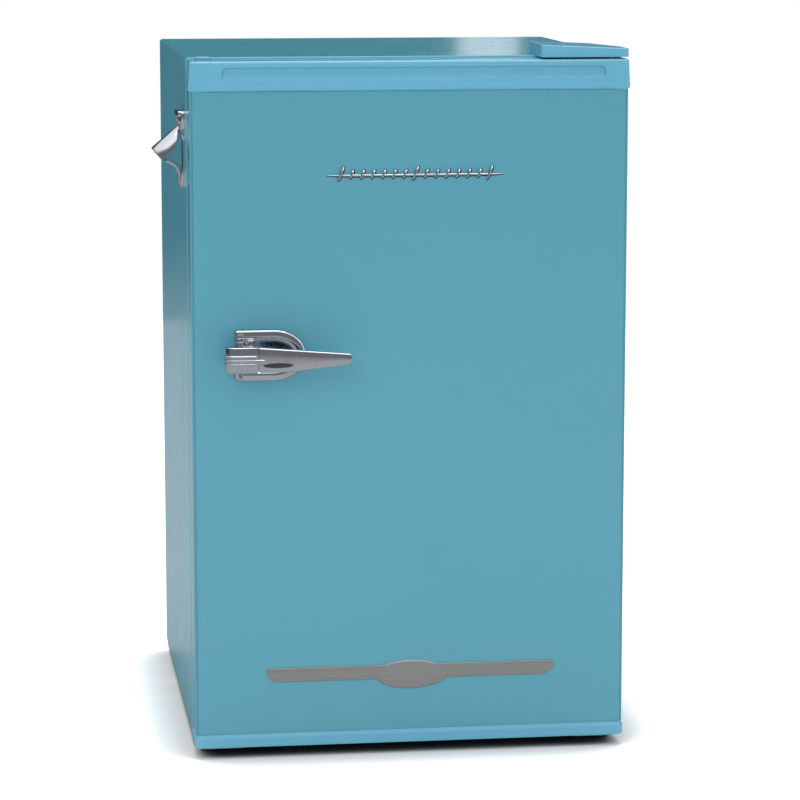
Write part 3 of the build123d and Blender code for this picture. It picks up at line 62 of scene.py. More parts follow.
# ---------------------------------------------------------------- shader helpers
def set_range(node, from_low, from_high, low, high):
    """Sets the four ends of a Map Range node."""
    ends = {"From Min": from_low, "From Max": from_high, "To Min": low, "To Max": high}
    for key, value in ends.items():
        node.inputs[key].default_value = value


class Shader:
    """A material under construction, with short calls for the nodes that the finishes below share."""

    def __init__(self, name, color, roughness, metallic=0.0):
        self.mat = bpy.data.materials.new(name)
        self.mat.use_nodes = True
        self.tree = self.mat.node_tree
        self.bsdf = self.tree.nodes["Principled BSDF"]
        self.color = (*color, 1.0)
        self.bsdf.inputs["Base Color"].default_value = self.color
        self.bsdf.inputs["Roughness"].default_value = roughness
        self.bsdf.inputs["Metallic"].default_value = metallic
        self.mat.diffuse_color = self.color
        self.coords = self.tree.nodes.new("ShaderNodeTexCoord").outputs["Object"]
        self.normal = None

    def set(self, **values):
        """Sets the shader's own sockets, with underscores for the spaces in their names."""
        for key, value in values.items():
            self.bsdf.inputs[key.replace("_", " ")].default_value = value
        return self

    def node(self, kind, **settings):
        """New node of the material, with its settings."""
        made = self.tree.nodes.new(kind)
        for key, value in settings.items():
            setattr(made, key, value)
        return made

    def link(self, output, socket):
        """Feeds a socket from an output."""
        self.tree.links.new(output, socket)

    def stretched(self, x, y, z):
        """Object coordinates scaled by axis, for grain that runs one way."""
        mapping = self.node("ShaderNodeMapping")
        mapping.inputs["Scale"].default_value = (x, y, z)
        self.link(self.coords, mapping.inputs["Vector"])
        return mapping.outputs["Vector"]

    def noise(self, scale, detail=3.0, roughness=0.5, vector=None):
        """Cloudy noise, scale features to the metre."""
        made = self.node("ShaderNodeTexNoise")
        made.inputs["Scale"].default_value = scale
        made.inputs["Detail"].default_value = detail
        made.inputs["Roughness"].default_value = roughness
        self.link(vector or self.coords, made.inputs["Vector"])
        return made.outputs["Fac"]

    def cells(self, scale, feature="F1"):
        """Distance to the nearest cell's centre."""
        made = self.node("ShaderNodeTexVoronoi", feature=feature)
        made.inputs["Scale"].default_value = scale
        self.link(self.coords, made.inputs["Vector"])
        return made.outputs["Distance"]

    def remap(self, value, low, high, from_low=0.3, from_high=0.7):
        """value, from a noise's usual range, to low and high."""
        made = self.node("ShaderNodeMapRange", interpolation_type="SMOOTHSTEP")
        self.link(value, made.inputs["Value"])
        set_range(made, from_low, from_high, low, high)
        return made.outputs["Result"]

    def total(self, a, b):
        """Sum of two outputs."""
        made = self.node("ShaderNodeMath", operation="ADD")
        self.link(a, made.inputs[0])
        self.link(b, made.inputs[1])
        return made.outputs[0]

    def tint(self, factor, other):
        """Base colour that goes to other where factor is 1."""
        made = self.node("ShaderNodeMix", data_type="RGBA")
        self.link(factor, made.inputs["Factor"])
        previous = self.bsdf.inputs["Base Color"]
        if previous.is_linked:
            self.link(previous.links[0].from_socket, made.inputs["A"])
        else:
            made.inputs["A"].default_value = self.color
        made.inputs["B"].default_value = (*other, 1.0)
        self.link(made.outputs["Result"], self.bsdf.inputs["Base Color"])
        return self

    def rough(self, value):
        """Roughness from an output."""
        self.link(value, self.bsdf.inputs["Roughness"])
        return self

    def bump(self, height, distance, strength=1.0):
        """Adds a height, in metres, over what the normal already has."""
        made = self.node("ShaderNodeBump")
        made.inputs["Distance"].default_value = distance
        made.inputs["Strength"].default_value = strength
        self.link(height, made.inputs["Height"])
        if self.normal:
            self.link(self.normal, made.inputs["Normal"])
        self.normal = made.outputs["Normal"]
        self.link(self.normal, self.bsdf.inputs["Normal"])
        return self


def shade(color, factor):
    """Colour made darker or lighter."""
    return tuple(min(1.0, c * factor) for c in color)


def srgb(r, g, b):
    """8-bit display colour to linear, for levels above 10."""
    return tuple(((v / 255 + 0.055) / 1.055) ** 2.4 for v in (r, g, b))


# ---------------------------------------------------------------- finishes
def enamel(name, color, roughness, gloss=0.5, coat=0.25):
    """Sprayed gloss paint on steel: faint orange peel, slow drifts of tone and a few wiped smudges."""
    s = Shader(name, color, roughness).set(Specular_IOR_Level=gloss, Coat_Weight=coat, Coat_Roughness=0.08)
    s.tint(s.remap(s.noise(3.0, 3), 0.0, 1.0), shade(color, 0.975))
    s.tint(s.remap(s.noise(90.0, 6, 0.7), 0.0, 0.4), shade(color, 1.02))
    smudge = s.remap(s.noise(6.0, 5, 0.55), 0.0, 0.035, 0.5, 0.8)
    grain = s.remap(s.noise(60.0, 3), roughness - 0.02, roughness + 0.02)
    s.rough(s.total(smudge, grain))
    return s.bump(s.noise(260.0, 2), 0.00002, 0.25).mat


def moulded(name, color, roughness, grain=1400.0, depth=0.00002):
    """Injection-moulded plastic: fine spark-erosion grain, flow tone and handling marks."""
    s = Shader(name, color, roughness).set(IOR=1.47)
    s.tint(s.remap(s.noise(9.0, 4), 0.0, 1.0), shade(color, 0.96))
    s.tint(s.remap(s.noise(160.0, 5, 0.7), 0.0, 0.4), shade(color, 1.04))
    marks = s.remap(s.noise(14.0, 6, 0.65), 0.0, 0.10, 0.5, 0.75)
    s.rough(s.total(s.remap(s.noise(200.0, 3), roughness - 0.04, roughness + 0.04), marks))
    return s.bump(s.noise(grain, 3), depth, 0.6).mat


def clear(name, color, roughness, opacity):
    """Clear moulded plastic or glass: a thin tinted film, denser where seen edge on, with rubbed haze."""
    s = Shader(name, color, roughness).set(IOR=1.49)
    haze = s.remap(s.noise(12.0, 6, 0.7), 0.0, 0.12, 0.45, 0.8)
    s.rough(s.total(s.remap(s.noise(300.0, 3), roughness, roughness + 0.03), haze))
    s.tint(s.remap(s.noise(4.0, 3), 0.0, 1.0), shade(color, 0.95))
    rim = s.node("ShaderNodeLayerWeight")
    rim.inputs["Blend"].default_value = 0.35
    edge_opacity = 0.85
    s.link(s.remap(rim.outputs["Facing"], opacity, edge_opacity, 0.15, 0.95), s.bsdf.inputs["Alpha"])
    return s.bump(s.noise(80.0, 2), 0.00002, 0.2).mat


def chromed(name, color, roughness):
    """Bright chrome on a die casting: slight waves under the plating, wiping haze and pin pricks."""
    s = Shader(name, color, roughness, 1.0)
    haze = s.remap(s.noise(60.0, 6, 0.7), 0.0, 0.09, 0.48, 0.78)
    s.rough(s.total(s.remap(s.noise(400.0, 3), roughness * 0.7, roughness * 1.4), haze))
    s.tint(s.remap(s.noise(30.0, 5), 0.0, 1.0), shade(color, 0.93))
    s.bump(s.noise(45.0, 2), 0.00010, 0.5)
    return s.bump(s.remap(s.cells(500.0), 0.0, 1.0, 0.05, 0.16), 0.00002, 0.3).mat


def brushed(name, color, roughness, along=(6.0, 900.0, 900.0)):
    """Rolled or brushed metal, grained one way."""
    s = Shader(name, color, roughness, 1.0)
    grain = s.noise(1.0, 6, 0.7, s.stretched(*along))
    s.rough(s.remap(grain, roughness - 0.08, roughness + 0.12))
    s.tint(s.remap(grain, 0.0, 0.8), shade(color, 0.84))
    s.tint(s.remap(s.noise(20.0, 5), 0.0, 0.8), shade(color, 0.93))
    return s.bump(grain, 0.00003, 0.5).mat


def galvanised(name, color, roughness):
    """Zinc-coated sheet: spangle of large crystals, dulled in patches."""
    s = Shader(name, color, roughness, 0.85)
    spangle = s.cells(70.0, "SMOOTH_F1")
    s.tint(s.remap(spangle, 0.0, 0.9, 0.1, 0.6), shade(color, 0.72))
    s.tint(s.remap(s.noise(12.0, 6, 0.6), 0.0, 0.7), shade(color, 1.15))
    s.rough(s.total(s.remap(spangle, roughness - 0.08, roughness + 0.08, 0.1, 0.6),
                    s.remap(s.noise(25.0, 5), 0.0, 0.12)))
    return s.bump(spangle, 0.00003, 0.4).mat


def coppered(name, color, roughness):
    """Drawn copper tube, browned unevenly with heat and handling."""
    s = Shader(name, color, roughness, 1.0)
    s.tint(s.remap(s.noise(35.0, 6, 0.65), 0.0, 0.9, 0.4, 0.7), shade(color, 0.38))
    s.tint(s.remap(s.noise(140.0, 4), 0.0, 0.5), shade(color, 1.2))
    s.rough(s.remap(s.noise(60.0, 5), roughness - 0.08, roughness + 0.2))
    return s.bump(s.noise(500.0, 3), 0.00003, 0.5).mat


def rubbery(name, color, roughness):
    """Matt rubber or soft PVC with dust in its grain."""
    s = Shader(name, color, roughness).set(IOR=1.5, Specular_IOR_Level=0.35)
    s.tint(s.remap(s.noise(40.0, 6, 0.7), 0.0, 0.8, 0.45, 0.75), shade(color, 1.25))
    s.tint(s.remap(s.noise(8.0, 3), 0.0, 0.8), shade(color, 0.9))
    s.rough(s.remap(s.noise(90.0, 4), roughness - 0.08, roughness + 0.08))
    return s.bump(s.noise(900.0, 3), 0.00006, 0.6).mat


def foamed(name, color, roughness):
    """Poured polyurethane: closed cells and darker pours."""
    s = Shader(name, color, roughness)
    s.tint(s.remap(s.noise(15.0, 5), 0.0, 0.9), shade(color, 0.8))
    s.rough(s.remap(s.noise(50.0, 3), roughness - 0.1, roughness))
    return s.bump(s.cells(350.0), 0.0008, 0.8).mat


# Linear base colours of the blue enamel on the door, its caps and the cabinet.
DOOR = (0.077, 0.278, 0.366)
CAP = (0.108, 0.343, 0.482)
CABINET = (0.062, 0.315, 0.420)

# By material slot of the record, and badge_oval for the badge's middle.
FINISHES = {
    "cabinet_paint": enamel("cabinet_enamel", CABINET, 0.16, 0.22, 0.0),
    "door_paint": enamel("door_enamel", DOOR, 0.20),
    "cap_plastic": enamel("blue_cap_plastic", CAP, 0.24, 0.45, 0.1),
    "white_plastic": moulded("white_liner_plastic", srgb(238, 240, 238), 0.28, 700.0, 0.000008),
    "shelf_trim": moulded("shelf_trim_plastic", srgb(226, 230, 232), 0.25),
    "clear_plastic": clear("clear_plastic", srgb(222, 236, 244), 0.08, 0.34),
    "tray_plastic": moulded("ice_tray_plastic", srgb(196, 216, 232), 0.35),
    "shelf_glass": clear("shelf_glass", srgb(190, 226, 210), 0.03, 0.26),
    "gasket_rubber": rubbery("gasket_rubber", srgb(206, 208, 206), 0.55),
    "black_rubber": rubbery("black_rubber", srgb(38, 38, 38), 0.7),
    "foam": foamed("insulation_foam", srgb(236, 222, 176), 0.9),
    "zinc_steel": galvanised("galvanised_steel", srgb(186, 190, 192), 0.42),
    "steel_fastener": brushed("plated_steel", srgb(200, 202, 204), 0.30, (500.0, 500.0, 60.0)),
    "black_enamel": moulded("black_stove_enamel", srgb(26, 26, 28), 0.38, 300.0, 0.00008),
    "black_plastic": moulded("black_plastic", srgb(32, 32, 34), 0.5, 900.0, 0.00006),
    "copper": coppered("copper_tube", srgb(214, 138, 98), 0.32),
    "evaporator_aluminium": brushed("evaporator_aluminium", srgb(214, 216, 218), 0.36, (700.0, 9.0, 700.0)),
    "nylon": moulded("nylon_bush", srgb(228, 228, 218), 0.45),
    "chrome": chromed("bright_chrome", srgb(204, 208, 216), 0.10),
    "badge_oval": brushed("satin_badge_oval", srgb(196, 196, 195), 0.5),
    "badge_metal": brushed("satin_badge_metal", srgb(194, 195, 191), 0.42),
    # Dark enamel of the handle's inlay; the speed line's painted shadow strips use it too.
    "dark_inlay": moulded("dark_inlay_and_painted_shadow", srgb(52, 50, 50), 0.2),
}


def paint_frame():
    """Gives every CAD node the finish of its material slot in the record."""
    for part in frame["record"]["subparts"]:
        node = NODES[part["node"]]
        finish = FINISHES[part["material_slot"]]
        if not node.material_slots:
            node.data.materials.append(finish)
        for place in node.material_slots:
            place.material = finish


# ---------------------------------------------------------------- mesh helpers
def new_piece(name, bm, slot, body, node, sharp, finish=None):
    """Object made of a bmesh, riding on a body in place of a CAD node. Angles over sharp stay sharp."""
    bmesh.ops.recalc_face_normals(bm, faces=bm.faces)
    mesh = bpy.data.meshes.new(name)
    bm.to_mesh(mesh)
    bm.free()
    for face in mesh.polygons:
        face.use_smooth = True
    mesh.set_sharp_from_angle(angle=math.radians(sharp))
    mesh.materials.append(finish or FINISHES[slot])
    obj = bpy.data.objects.new(name, mesh)
    bpy.context.scene.collection.objects.link(obj)
    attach(obj, body)
    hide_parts(node)
    return obj


def arc(cx, cy, r, start, end, count):
    """Points of an arc, angles in degrees."""
    steps = [math.radians(start + (end - start) * i / count) for i in range(count + 1)]
    return [(cx + r * math.cos(a), cy + r * math.sin(a)) for a in steps]


def loft(bm, rings, close=True):
    """Quads between rings of equally many points, with both ends capped if close."""
    rows = [[bm.verts.new(p) for p in ring] for ring in rings]
    n = len(rows[0])
    for a, b in zip(rows, rows[1:]):
        for i in range(n):
            bm.faces.new((a[i], a[(i + 1) % n], b[(i + 1) % n], b[i]))
    if close:
        bm.faces.new(reversed(rows[0]))
        bm.faces.new(rows[-1])
    return rows


def inset_outline(points, distance):
    """Closed outline moved inwards, for a shape that turns left."""
    moved = []
    n = len(points)
    for i in range(n):
        a, b, c = Vector(points[i - 1]), Vector(points[i]), Vector(points[(i + 1) % n])
        u, v = (b - a).normalized(), (c - b).normalized()
        normal = Vector((-u.y - v.y, u.x + v.x))
        if normal.length < 1e-9:
            normal = Vector((-u.y, u.x))
        normal.normalize()
        spread = max(0.4, normal.dot(Vector((-u.y, u.x))))
        moved.append(tuple(b + normal * (distance / spread)))
    return moved


def plate(bm, outline, place, thickness, edge, steps=4):
    """Plate with a quarter-round edge on its outer side. place(u, v, w) puts a point, w being the height."""
    rings = [[place(u, v, 0.0) for u, v in outline]]
    for i in range(steps + 1):
        a = math.pi / 2 * i / steps
        inner = inset_outline(outline, edge * (1 - math.cos(a)))
        rings.append([place(u, v, thickness - edge + edge * math.sin(a)) for u, v in inner])
    loft(bm, rings)


def on_door(u, v, w):
    """Point on the door's front: u to the right, v up, w towards the viewer."""
    return (u, door_front - w, v)


def lerp(a, b, t):
    """Value between a and b."""
    return a + (b - a) * t


def smooth(t):
    """Soft step from 0 to 1."""
    t = max(0.0, min(1.0, t))
    return t * t * (3 - 2 * t)


def curve(points, steps):
    """Catmull-Rom curve through the points."""
    inner = [Vector(p) for p in points]
    ends = [2 * inner[0] - inner[1], *inner, 2 * inner[-1] - inner[-2]]
    out = []
    for a, b, c, d in zip(ends, ends[1:], ends[2:], ends[3:]):
        for i in range(steps):
            t = i / steps
            out.append(0.5 * (2 * b + (c - a) * t + (2 * a - 5 * b + 4 * c - d) * t * t
                              + (3 * b - a - 3 * c + d) * t ** 3))
    return out + [ends[-2]]


def sweep(bm, points, facing, section, scales):
    """Section carried along points. Its first coordinate runs sideways, its second along facing(tangent)."""
    rings = []
    for i, p in enumerate(points):
        tangent = (points[min(i + 1, len(points) - 1)] - points[max(i - 1, 0)]).normalized()
        up = facing(tangent).normalized()
        side = tangent.cross(up).normalized()
        rings.append([p + side * (a * scales[i]) + up * (b * scales[i]) for a, b in section])
    loft(bm, rings)


def half_round(width, height, steps=10):
    """Section of a bar with a domed front: flat behind, rounded in front."""
    return [(width / 2 * x, height * y) for x, y in arc(0, 0, 1, 0, 180, steps)]


def rounded_ends(count, tip=0.35, reach=0.12):
    """Scales of a bar whose ends close in softly."""
    out = []
    for i in range(count):
        t = i / (count - 1)
        near = min(t, 1 - t) / reach
        out.append(tip + (1 - tip) * math.sin(math.pi / 2 * min(1.0, near)))
    return out


def upright(bm, outline, low, high, edge, crown=0.0, steps=5):
    """Solid with outline as its plan, between low(x) and high(x), with rounded upper and lower edges."""
    rings = []
    for end, sign in ((low, 1), (high, -1)):
        rows = []
        for i in range(steps + 1):
            a = math.pi / 2 * i / steps
            ring = inset_outline(outline, edge * (1 - math.sin(a)))
            rows.append([(x, y, end(x) + sign * edge * (1 - math.cos(a))) for x, y in ring])
        rings += rows if sign > 0 else rows[::-1]
        if sign > 0 and crown:
            for t in (0.3, 0.5, 0.7):
                ring = inset_outline(outline, -crown * math.sin(math.pi * t))
                rings.append([(x, y, lerp(low(x) + edge, high(x) - edge, t)) for x, y in ring])
    loft(bm, rings)


# ---------------------------------------------------------------- handle
grip_low, grip_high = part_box("handle_grip")
base_low, base_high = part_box("handle_base")
handle_mid = (grip_low.z + grip_high.z) / 2
nose_end = grip_low.x + 36 * MM
nose_r = 12 * MM
nose_depth = 24 * MM
knee = grip_low.x + 62 * MM
tip_fall = 9 * MM
tip_rise = 7.4 * MM
joint_gap = 0.7 * MM  # between the nose and the blade
blade_depth = 11 * MM
blade_edge = 1.8 * MM
tip_r = 3 * MM
band_pitch = 4.4 * MM


def blade_top(x):
    """Height of the blade's upper edge, sloping down from the nose to the tip."""
    t = max(0.0, (x - nose_end) / (grip_high.x - nose_end))
    return grip_high.z - tip_fall * t


def blade_low(x):
    """Height of the blade's lower edge, level as far as the knee and then rising to the tip."""
    t = max(0.0, (x - knee) / (grip_high.x - knee))
    return grip_low.z + tip_rise * t ** 1.25


def make_handle_grip():
    """The grip's rounded nose and its tapering blade."""
    front = grip_low.y
    x0 = grip_low.x
    nose = [(x0 + 8 * MM, front + nose_depth), (x0, front + 18 * MM)]
    nose += arc(x0 + nose_r, front + nose_r, nose_r, 180, 270, 14)
    nose += [(lerp(x0 + nose_r, nose_end, t), front) for t in (0.33, 0.66, 1.0)]
    nose += [(nose_end, front + nose_depth)]
    bm = bmesh.new()
    upright(bm, nose, lambda x: grip_low.z, lambda x: grip_high.z, 1.5 * MM, 0.15 * MM)
    new_piece("handle_nose", bm, "chrome", "door", "handle_grip", 40)

    blade_back = front + blade_depth
    start = nose_end + joint_gap
    tip = grip_high.x
    outline = []
    for i in range(25):
        t = i / 24
        outline.append((lerp(start, tip - 3 * MM, t), front + lerp(0.5, 3.2, t) * MM))
    outline += arc(tip - 3 * MM, front + 6.2 * MM, tip_r, 270, 360, 5)[1:]
    outline += arc(tip - 2 * MM, blade_back - 2 * MM, 2 * MM, 0, 90, 4)
    outline += [(lerp(tip - 8 * MM, start + 15 * MM, i / 8), blade_back) for i in range(9)]
    outline += [(start + 6 * MM, blade_back + 2 * MM), (start + 2 * MM, blade_back + 6 * MM)]
    outline += [(start, blade_back + 11 * MM)]
    bm = bmesh.new()
    upright(bm, outline, lambda x: blade_low(x) + 0.3 * MM, lambda x: blade_top(x) - 0.3 * MM,
            blade_edge, 0.15 * MM)
    new_piece("handle_blade", bm, "chrome", "door", "handle_grip", 40)


def make_handle_ribs():
    """Three half-round bands round the nose, the middle one longer."""
    front = grip_low.y
    cx, cy = grip_low.x + nose_r, front + nose_r
    bm = bmesh.new()
    for i, reach in ((-1, 22), (0, 31), (1, 22)):
        level = handle_mid + i * band_pitch
        path = [Vector((cx - nose_r, cy + 5 * MM, level)), Vector((cx - nose_r, cy + 2.5 * MM, level))]
        path += [Vector((x, y, level)) for x, y in arc(cx, cy, nose_r, 180, 270, 12)]
        path += [Vector((cx + reach * MM * t, front, level)) for t in (0.25, 0.5, 0.75, 0.9, 1.0)]
        section = half_round(2.3 * MM, 1.9 * MM)
        sweep(bm, path, lambda t: Vector((t.y, -t.x, 0)), section, rounded_ends(len(path), 0.5, 0.06))
    new_piece("handle_bands", bm, "chrome", "door", "handle_ribs", 60)


def make_handle_base():
    """Escutcheon with a rolled rim and a sunken panel, and the pillar that carries the grip."""
    x0, x1 = base_low.x, base_high.x
    half = (base_high.z - base_low.z) / 2
    mid = (base_high.z + base_low.z) / 2
    flat = x0 + 0.55 * (x1 - x0)
    corner = 3 * MM
    outline = arc(x0 + corner, mid - half + corner, corner, 180, 270, 5)
    outline += [(flat + (x1 - flat) * math.cos(a), mid + half * math.sin(a))
                for a in (math.radians(-90 + 7.5 * i) for i in range(25))]
    outline += arc(x0 + corner, mid + half - corner, corner, 90, 180, 5)
    # Its rim, in mm in from the outline and up from the door.
    rim = ((0, 0), (0, 4.4), (0.4, 5.8), (1.2, 6.7), (2.2, 7.1))
    panel = ((8.4, 8.0), (9.4, 7.6), (10.2, 6.4), (11.4, 5.6), (14.0, 5.4))
    rings = []
    for inset, w in rim + panel:
        rings.append([on_door(u, v, w * MM) for u, v in inset_outline(outline, inset * MM)])
    bm = bmesh.new()
    loft(bm, rings)
    new_piece("handle_escutcheon", bm, "chrome", "door", "handle_base", 45)

    foot = door_front - 2 * MM
    under_grip = grip_low.y + 18 * MM
    pillar = [(x0 + 23 * MM, foot), (x0 + 22 * MM, under_grip), (x0 + 4 * MM, under_grip)]
    pillar += [(x0 + 1.5 * MM, grip_low.y + nose_depth), (x0 + 2.5 * MM, foot)]
    bm = bmesh.new()
    upright(bm, pillar[::-1], lambda x: mid - 13 * MM, lambda x: mid + 13 * MM, 2.2 * MM, 0.4 * MM)
    new_piece("handle_pillar", bm, "chrome", "door", "handle_base", 50)


def make_handle_medallion():
    """Shallow domed oval of dark enamel, let into the blade."""
    low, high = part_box("handle_medallion")
    cx, cz = (low.x + high.x) / 2, (low.z + high.z) / 2
    rx, rz = (high.x - low.x) / 2, (high.z - low.z) / 2
    blade_length = grip_high.x - nose_end
    dome = ((1.0, -0.6), (1.0, 0.25), (0.93, 0.5), (0.75, 0.62), (0.4, 0.75), (0.1, 0.8))
    rings = []
    for scale, rise in dome:
        ring = []
        for i in range(48):
            a = math.radians(7.5 * i)
            u = cx + rx * scale * math.cos(a)
            v = cz + rz * scale * math.sin(a)
            ring.append((u, grip_low.y + (0.4 + 2.8 * (u - nose_end) / blade_length) * MM - rise * MM, v))
        rings.append(ring)
    bm = bmesh.new()
    loft(bm, rings)
    new_piece("handle_inlay", bm, "dark_inlay", "door", "handle_medallion", 60)


# ---------------------------------------------------------------- ornament and badge
ornament_drops = 15
tall_every = 7
ornament_margin = 18  # mm from the bar's ends to the first and the last drop
drop_lean = 0.45  # sideways run of a drop for each mm of its height


def make_script_ornament():
    """Chrome speed-line: a bar pointed at both ends with leaning drops across it, on a dark backing that is
    painted shadow, set a little lower and to the right of the chrome.
    """
    low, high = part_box("script_ornament")
    span = (high.x - low.x) / MM
    level = low.z + 7.2 * MM
    pitch_span = span - 2 * ornament_margin

    def stroke(bm, points, width, height, tip, reach, steps=6):
        """Bar along points, all in mm from the ornament's left end and its level."""
        path = [Vector(on_door(low.x + u * MM, level + v * MM, 0.0)) for u, v in points]
        path = curve(path, steps)
        section = half_round(width * MM, height * MM)
        sweep(bm, path, lambda t: Vector((0, -1, 0)), section, rounded_ends(len(path), tip, reach))

    def drops(tall, short):
        """Middle, half height and rise of each drop."""
        for i in range(ornament_drops):
            half = tall if i % tall_every == 0 else short
            yield ornament_margin + i * pitch_span / (ornament_drops - 1), half, 0.24 * half

    bm = bmesh.new()
    bar = [(u, 0) for u in (0.5, span / 3, 2 * span / 3, span - 0.5)]
    stroke(bm, bar, 3.0, 2.6, 0.12, 0.16, 12)
    for middle, half, rise in drops(8.0, 5.2):
        ends = [(middle - drop_lean * half, rise - half), (middle - 0.2, rise)]
        ends += [(middle + drop_lean * half, rise + half)]
        stroke(bm, ends, 3.4, 3.4, 0.35, 0.3)
    new_piece("speed_line", bm, "chrome", "door", "script_ornament", 60)

    # Painted shadow: dark strips, wider than the chrome and set about 0.5 mm lower and to the right, stand
    # for the shade the strokes cast on the door.
    bm = bmesh.new()
    for middle, half, rise in drops(8.6, 5.8):
        ends = [(middle - drop_lean * half + 0.5, rise - half - 0.5), (middle + 0.3, rise - 0.5)]
        ends += [(middle + drop_lean * half + 0.5, rise + half - 0.5)]
        stroke(bm, ends, 4.6, 0.7, 0.4, 0.3)
    bar = [(u, -0.6) for u in (1.5, span / 3, 2 * span / 3, span - 1.0)]
    stroke(bm, bar, 4.2, 0.6, 0.2, 0.16, 12)
    new_piece("speed_line_painted_shadow", bm, "dark_inlay", "door", "script_ornament", 60)


def make_wing_badge():
    """Satin badge: two straight wings with turned-down lower corners, and a blank, slightly domed oval."""
    low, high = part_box("wing_badge")
    mid = (low.x + high.x) / 2
    half = (high.x - low.x) / 2
    top = low.z + 28.25 * MM
    wing = 16.5 * MM
    bm = bmesh.new()
    outline = [(mid - half, top - 0.55 * wing)]
    corner = 8 * MM
    outline += arc(mid - half + 12 * MM, top - wing + corner, corner, 215, 270, 5)
    outline += [(mid - 30 * MM, top - wing), (mid + 30 * MM, top - wing)]
    outline += arc(mid + half - 12 * MM, top - wing + corner, corner, 270, 325, 5)
    outline += [(mid + half, top - 0.55 * wing), (mid + half, top - 0.3 * MM), (mid - half, top - 0.3 * MM)]
    plate(bm, outline, on_door, 1.5 * MM, 0.5 * MM, 3)
    new_piece("badge_wings", bm, "badge_metal", "door", "wing_badge", 40)
    oval_rx, oval_rz = 42 * MM, 16.5 * MM
    cz = low.z + oval_rz
    dome = ((1.0, 0.0), (1.0, 1.0), (0.985, 1.35), (0.95, 1.55), (0.8, 1.7), (0.5, 1.85), (0.2, 1.95))
    rings = []
    for scale, rise in dome:
        ring = []
        for i in range(72):
            a = math.radians(5 * i)
            u = mid + oval_rx * scale * math.cos(a)
            v = cz + oval_rz * scale * math.sin(a)
            ring.append(on_door(u, v, rise * MM))
        rings.append(ring)
    bm = bmesh.new()
    loft(bm, rings)
    new_piece("badge_oval", bm, "badge_metal", "door", "wing_badge", 60, FINISHES["badge_oval"])


# ---------------------------------------------------------------- bottle opener
opener_low, opener_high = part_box("bottle_opener")
opener_y = (opener_low.y + opener_high.y) / 2
opener_top, opener_bottom = opener_high.z, opener_low.z
wall = left


def make_opener_plate():
    """Plate of the opener with its wide tab, thin spine and tail, and the bar along its top."""
    mid_y = opener_y
    top, bottom = opener_top, opener_bottom
    bm = bmesh.new()
    # Half of its outline, in mm sideways and up from its top.
    half = [(24, 0), (26.4, -1), (27, -3), (27, -17), (24, -21), (13, -27), (11, -30), (11, -34), (11, -40)]
    half += [(11, -54), (11, -64), (11, -68), (11, -72), (10, -80), (9.5, -85), (6.5, -88)]
    outline = [(-a * MM, top + b * MM) for a, b in half] + [(a * MM, top + b * MM) for a, b in half[::-1]]
    outline = [(a, max(b, bottom)) for a, b in outline]

    def on_wall(u, v, w):
        """Point on the cabinet's side. The plate is thin between its tab and its tail."""
        thin = smooth((top - 26 * MM - v) / (8 * MM)) * smooth((v - bottom - 16 * MM) / (8 * MM))
        return (wall - w * lerp(1.0, 0.3, thin), mid_y - u, v)

    plate(bm, outline, on_wall, 4.3 * MM, 1.3 * MM)
    bar = []
    for cx, cz, start in ((6.2, -1.6, 0), (-1.0, -1.0, 90), (-1.0, -6.0, 180), (6.2, -5.2, 270)):
        r = 1.6 if cx > 0 else 0.4
        bar += [(wall - x * MM, top + z * MM) for x, z in arc(cx, cz, r, start, start + 90, 4)]
    ends = ((-25, 1.4), (-24.3, 0.5), (-23.2, 0), (23.2, 0), (24.3, 0.5), (25, 1.4))
    centre = (wall - 3.0 * MM, top - 3.5 * MM)
    rings = []
    for y, d in ends:
        rings.append([(lerp(x, centre[0], d / 5), mid_y + y * MM, lerp(z, centre[1], d / 5)) for x, z in bar])
    loft(bm, rings)
    new_piece("opener_plate", bm, "chrome", "cabinet", "bottle_opener", 50)


def make_opener_hood():
    """Hood of the opener: a half tube that leans outwards on a neck."""
    lean = math.radians(40)
    along = Vector((-math.cos(lean), 0, -math.sin(lean)))
    up = Vector((-math.sin(lean), 0, math.cos(lean)))
    ridge = Vector((wall, opener_y, opener_top - 12 * MM))
    r = 18.4 * MM
    thickness = 3.2 * MM
    length = (wall - opener_low.x) / math.cos(lean) - 0.4 * MM
    reach = 84.0  # degrees from the ridge to each long edge
    columns = 40

    def point(phi, u, depth):
        """Point at angle phi round the tube, u along it and depth under its skin."""
        inner = r - depth
        sideways = Vector((0, inner * math.sin(phi), 0))
        return ridge - up * r + along * u + up * (inner * math.cos(phi)) + sideways

    shell = []
    for i in range(columns + 1):
        phi = math.radians(lerp(-reach, reach, i / columns))
        cut = (9 * MM + (1 - math.cos(phi)) * r * math.sin(lean)) / math.cos(lean)
        cut -= 2.5 * MM * math.sin(2 * abs(phi))
        neck = smooth((abs(math.degrees(phi)) - 24) / 12)
        start = lerp(0.5 * MM, cut, neck)
        edge = 1.0 - 0.75 * smooth((abs(math.degrees(phi)) - (reach - 8)) / 8)
        deep = thickness * edge
        half_way = lerp(start, length, 0.5)
        ring = [(start + 1.0 * MM, 0), (half_way, 0), (length - 1.2 * MM, 0)]
        ring += [(length - 0.35 * MM, 0.35 * MM * edge), (length, 1.2 * MM * edge)]
        ring += [(length, deep - 0.5 * MM * edge), (length - 0.6 * MM, deep)]
        ring += [(half_way, deep), (start + 0.6 * MM, deep)]
        ring += [(start, deep - 0.6 * MM * edge), (start, 1.0 * MM * edge)]
        ring += [(start + 0.3 * MM, 0.3 * MM * edge)]
        shell.append([point(phi, u, depth) for u, depth in ring])
    bm = bmesh.new()
    loft(bm, shell)
    new_piece("opener_hood", bm, "chrome", "cabinet", "bottle_opener", 55)


